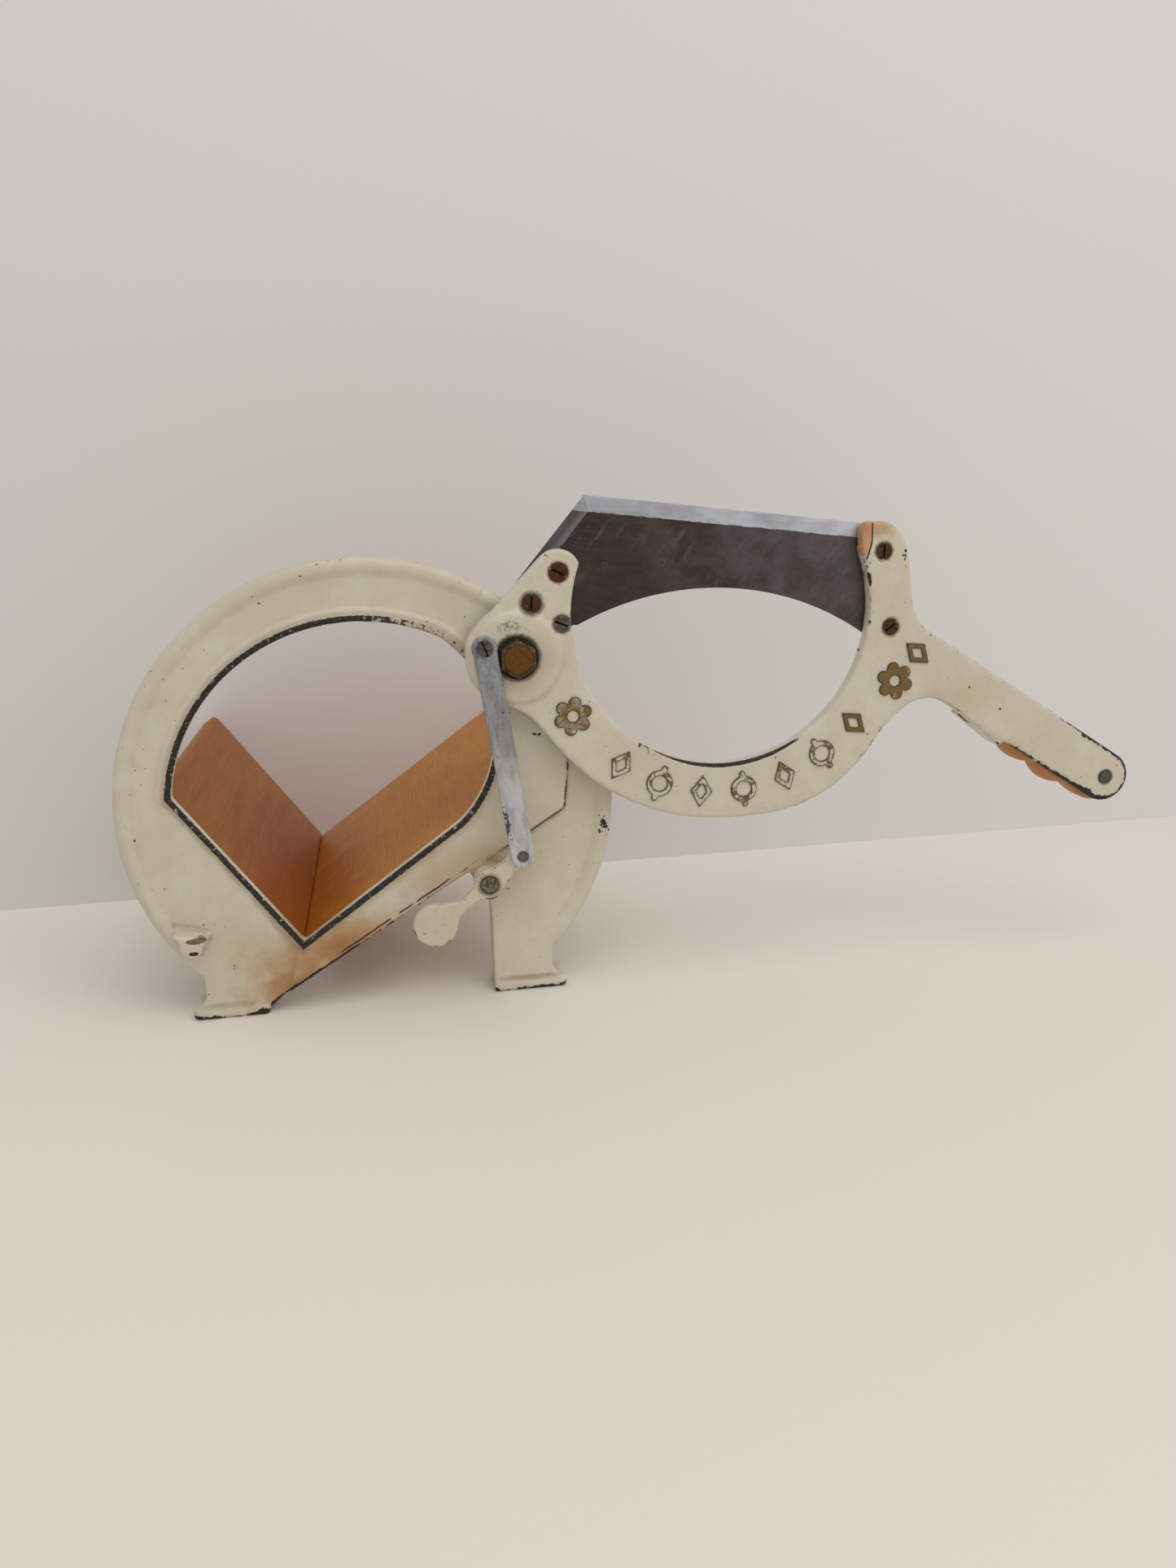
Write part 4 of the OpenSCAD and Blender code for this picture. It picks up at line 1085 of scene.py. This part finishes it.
@dataclass
class Slicer:
    """Dresses every part of the slicer."""

    frame: Mapping
    seat: Seat
    effects: Effects
    skins: tuple[tuple[Skin, str], ...] = field(default=(
        (Skin("frame_enamelled", ("frame_casting", "stop_lug"), "frame", "enamel", 1.0, 4), "frame"),
        (Skin("arm_enamelled", ("arm_casting",), "arm", "enamel", 0.95, 5), "arm"),
        (Skin("bed_enamelled", ("bed_casting",), "frame", "enamel", 1.2, 3), "bed"),
        (Skin("stop_lever_enamelled", ("stop_lever",), "stop", "enamel", 0.5, 9), "lever"),
        (Skin("decoration_painted", ("arm_ornaments",), "arm", "gilt", 0.28, 2), "relief"),
        (Skin("board_left_varnished", ("board_left",), "frame", "boards", 1.4, 1), "left"),
        (Skin("board_right_varnished", ("board_right",), "frame", "boards", 1.4, 1), "right"),
        (Skin("link_wiped", ("link",), "link", "link_metal", 0.4, 2), "link"),
    ))

    def dress(self) -> None:
        """Builds the skins and the grip, and gives each CAD node that stays its finish."""
        effects = self.effects
        enamel, wood, ochre = Enamel(effects), Varnished(effects), Ochre(effects)
        darker = Varnished(effects, light=(0.375, 0.125, 0.012), deep=(0.285, 0.083, 0.006),
                           golden=(0.46, 0.17, 0.02))
        link = BareMetal(effects, (0.242, 0.251, 0.268), (0.170, 0.175, 0.188), 0.25, 0.34,
                         polished_below=132.0)
        finishes = {
            "frame": enamel.material(Casting.FRAME),
            "arm": enamel.material(Casting.ARM),
            "bed": enamel.material(Casting.BED),
            "lever": enamel.material(Casting.LEVER),
            "relief": ochre.relief(),
            "left": darker.material("varnish_left", ember_at=(-46.0, 60.0, 42.0), gold=0.06),
            "right": wood.material("varnish_right", ember_at=(-46.0, 60.0, 34.0), gold=0.6),
            "link": link.material("wiped_link", turn=-82.4, wiped=0.36),
        }
        for skin, key in self.skins:
            skin.build(self.frame, finishes[key])
        paler = Varnished(effects, light=(0.54, 0.245, 0.105), golden=(0.60, 0.30, 0.14),
                          deep=(0.40, 0.15, 0.045))
        WoodenGrip().build(self.seat, paler.material("varnish_grip", turn=-HANDLE_FALL, gold=0.5))
        self._fittings(ochre)

    def _fittings(self, ochre: Ochre) -> None:
        """Gives the blade, the screws and the other fittings their metals."""
        effects = self.effects
        rust = BareMetal(effects, (0.088, 0.022, 0.006), (0.042, 0.012, 0.004), 0.5, 0.55, 0.0)
        umber = BareMetal(effects, (0.078, 0.040, 0.020), (0.034, 0.016, 0.008), 0.5, 0.46, 0.25)
        worn = BareMetal(effects, (0.082, 0.070, 0.057), (0.030, 0.024, 0.018), 0.45, 0.40, 0.4)
        rusty = rust.material("rusty_screw", wiped=0.0, slot_dirt_and_shade_y=-10.4)
        brown = umber.material("brown_screw", wiped=0.0, slot_dirt_and_shade_y=-10.4)
        grey = worn.material("grey_screw", wiped=0.12, slot_dirt_and_shade_y=-10.4)
        dome = worn.material("grey_dome", wiped=0.12, slot_dirt_and_shade_y=-18.3)
        rivet = worn.material("worn_rivet", wiped=0.12)
        soot = BareMetal(effects, (0.030, 0.024, 0.016), (0.010, 0.008, 0.006), 0.5, 0.5, 0.0)
        spindle = BareMetal(effects, (0.22, 0.18, 0.13), (0.07, 0.05, 0.03), 0.5, 0.38, 0.7).material(
            "old_spindle", wiped=0.1)
        zinc = BareMetal(effects, (0.46, 0.46, 0.46), (0.22, 0.19, 0.16), 0.25, 0.34).material(
            "dull_zinc", wiped=0.1)
        table = {
            "blade": BladeSteel(effects).material(), "pivot_bolt": ochre.bolt(),
            "blade_screw_a": rusty, "blade_screw_b": rusty, "blade_screw_c": grey,
            "blade_screw_d": brown, "blade_screw_e": brown, "link_screw": dome, "link_rivet": rivet,
            "grip_rivet": rivet, "stop_spindle": spindle, "collar_screw": spindle,
            "pivot_washer": soot.material("sooty_washer", wiped=0.0),
        }
        hidden = {name for skin, _ in self.skins for name in skin.nodes} | {"grip"}
        for name, node in self.frame["nodes"].items():
            if name in hidden:
                continue
            node.data.materials.clear()
            node.data.materials.append(table.get(name, zinc))
            LOG.info("%s: %s", name, node.data.materials[0].name)


# ---------------------------------------------------------------- studio


@dataclass(frozen=True)
class Studio:
    """A pale table against a pale wall, soft light from above, and the camera."""

    seat: Seat
    camera_at: Point = (15.49, -584.63, 262.79)
    yaw: float = -9.332
    pitch: float = 14.289
    roll: float = 1.668
    wall_y: float = 206.6
    table: Colour = (0.83, 0.79, 0.72)
    wall: Colour = (0.745, 0.73, 0.73)

    def build(self) -> None:
        """Makes the camera, the backdrop and the lights."""
        self._camera()
        self._plane("table_top", self.table, self._table_corners())
        self._open_from_behind(self._plane("back_wall", self.wall, self._wall_corners()))
        self._lights()

    def _camera(self) -> None:
        """Places the camera: forward is the yawed and pitched +Y axis, rolled about itself."""
        yaw, pitch, roll = (math.radians(v) for v in (self.yaw, self.pitch, self.roll))
        turn = Matrix.Rotation(yaw, 3, "Z")
        forward = turn @ Vector((0, math.cos(pitch), -math.sin(pitch)))
        down = turn @ Vector((0, -math.sin(pitch), -math.cos(pitch)))
        level = turn @ Vector((1, 0, 0))
        right = math.cos(roll) * level + math.sin(roll) * down
        down = math.cos(roll) * down - math.sin(roll) * level
        data = bpy.data.cameras.new("camera")
        data.sensor_width, data.lens = 36.0, 36.0 * 1445 / 1927
        data.clip_start, data.clip_end = 0.02, 20.0
        camera = bpy.data.objects.new("camera", data)
        bpy.context.scene.collection.objects.link(camera)
        place = self.seat.metres(np.array([self.camera_at]))[0]
        turned = Matrix((right, -down, -forward)).transposed().to_4x4()
        camera.matrix_world = Matrix.Translation(Vector(place)) @ turned
        bpy.context.scene.camera = camera

    def _table_corners(self) -> np.ndarray:
        """Corners of the table top, in working millimetres."""
        return np.array([[-2600, -2400, 0], [2900, -2400, 0], [2900, 2400, 0], [-2600, 2400, 0]], float)

    def _wall_corners(self) -> np.ndarray:
        """Corners of the wall, in working millimetres."""
        return np.array([[-2600, self.wall_y, -20], [2900, self.wall_y, -20], [2900, self.wall_y, 1900],
                         [-2600, self.wall_y, 1900]], float)

    def _plane(self, name: str, colour: Colour, corners: np.ndarray) -> bpy.types.Object:
        """One flat backdrop with a faint unevenness."""
        made = mesh_object(name, self.seat.metres(corners), np.array([[0, 1, 2, 3]]))
        material, web = new_material(name + "_paint")
        place = web.node("ShaderNodeTexCoord").outputs["Object"]
        cloud = web.noise(place, 3.0, 3.0)
        tone = web.mix(web.times(cloud, 0.12), colour, tuple(c * 0.9 for c in colour))
        finish_material(web, material, tone, 0.55, 0.0, web.noise(place, 180.0, 2.0), 0.04)
        made.data.materials.append(material)
        return made

    def _open_from_behind(self, wall: bpy.types.Object) -> None:
        """Lets the wall be seen from its front only, and lets it neither shade nor light anything."""
        tree = wall.data.materials[0].node_tree
        out = next(node for node in tree.nodes if node.type == "OUTPUT_MATERIAL")
        mixer, clear = tree.nodes.new("ShaderNodeMixShader"), tree.nodes.new("ShaderNodeBsdfTransparent")
        back = tree.nodes.new("ShaderNodeNewGeometry").outputs["Backfacing"]
        shown = out.inputs["Surface"].links[0].from_socket
        tree.links.new(back, mixer.inputs[0])
        tree.links.new(shown, mixer.inputs[1])
        tree.links.new(clear.outputs[0], mixer.inputs[2])
        tree.links.new(mixer.outputs[0], out.inputs["Surface"])
        wall.visible_diffuse = wall.visible_glossy = wall.visible_shadow = wall.visible_transmission = False

    def _lights(self) -> None:
        """Soft sky light and large lamps above, in front and to the right."""
        world = bpy.data.worlds.new("room")
        world.use_nodes = True
        world.node_tree.nodes["Background"].inputs[0].default_value = (1.0, 0.985, 0.96, 1.0)
        world.node_tree.nodes["Background"].inputs[1].default_value = 0.57
        bpy.context.scene.world = world
        for name, at, aim, size, power in (
                ("ceiling_lamp", (250.0, -1100.0, 2400.0), (100.0, 60.0, 60.0), 2.2, 17.0),
                ("side_lamp", (1500.0, -1500.0, 1500.0), (80.0, 20.0, 120.0), 1.4, 8.0)):
            data = bpy.data.lights.new(name, "AREA")
            data.shape, data.size, data.energy = "DISK", size, power
            data.color = (1.0, 0.975, 0.94)
            lamp = bpy.data.objects.new(name, data)
            bpy.context.scene.collection.objects.link(lamp)
            start, goal = (Vector(p) for p in self.seat.metres(np.array([at, aim])))
            aimed = (goal - start).to_track_quat("-Z", "Y").to_matrix().to_4x4()
            lamp.matrix_world = Matrix.Translation(start) @ aimed
        scene = bpy.context.scene
        scene.view_settings.view_transform = "Standard"
        scene.view_settings.exposure = 0.0


def main() -> None:
    """Loads the frame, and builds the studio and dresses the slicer."""
    logging.basicConfig(level=logging.INFO, format="%(name)s: %(message)s")
    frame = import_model()
    seat = Seat.from_frame()
    Studio(seat).build()
    Slicer(frame, seat, Effects(seat)).dress()


if __name__ == "__main__":
    main()
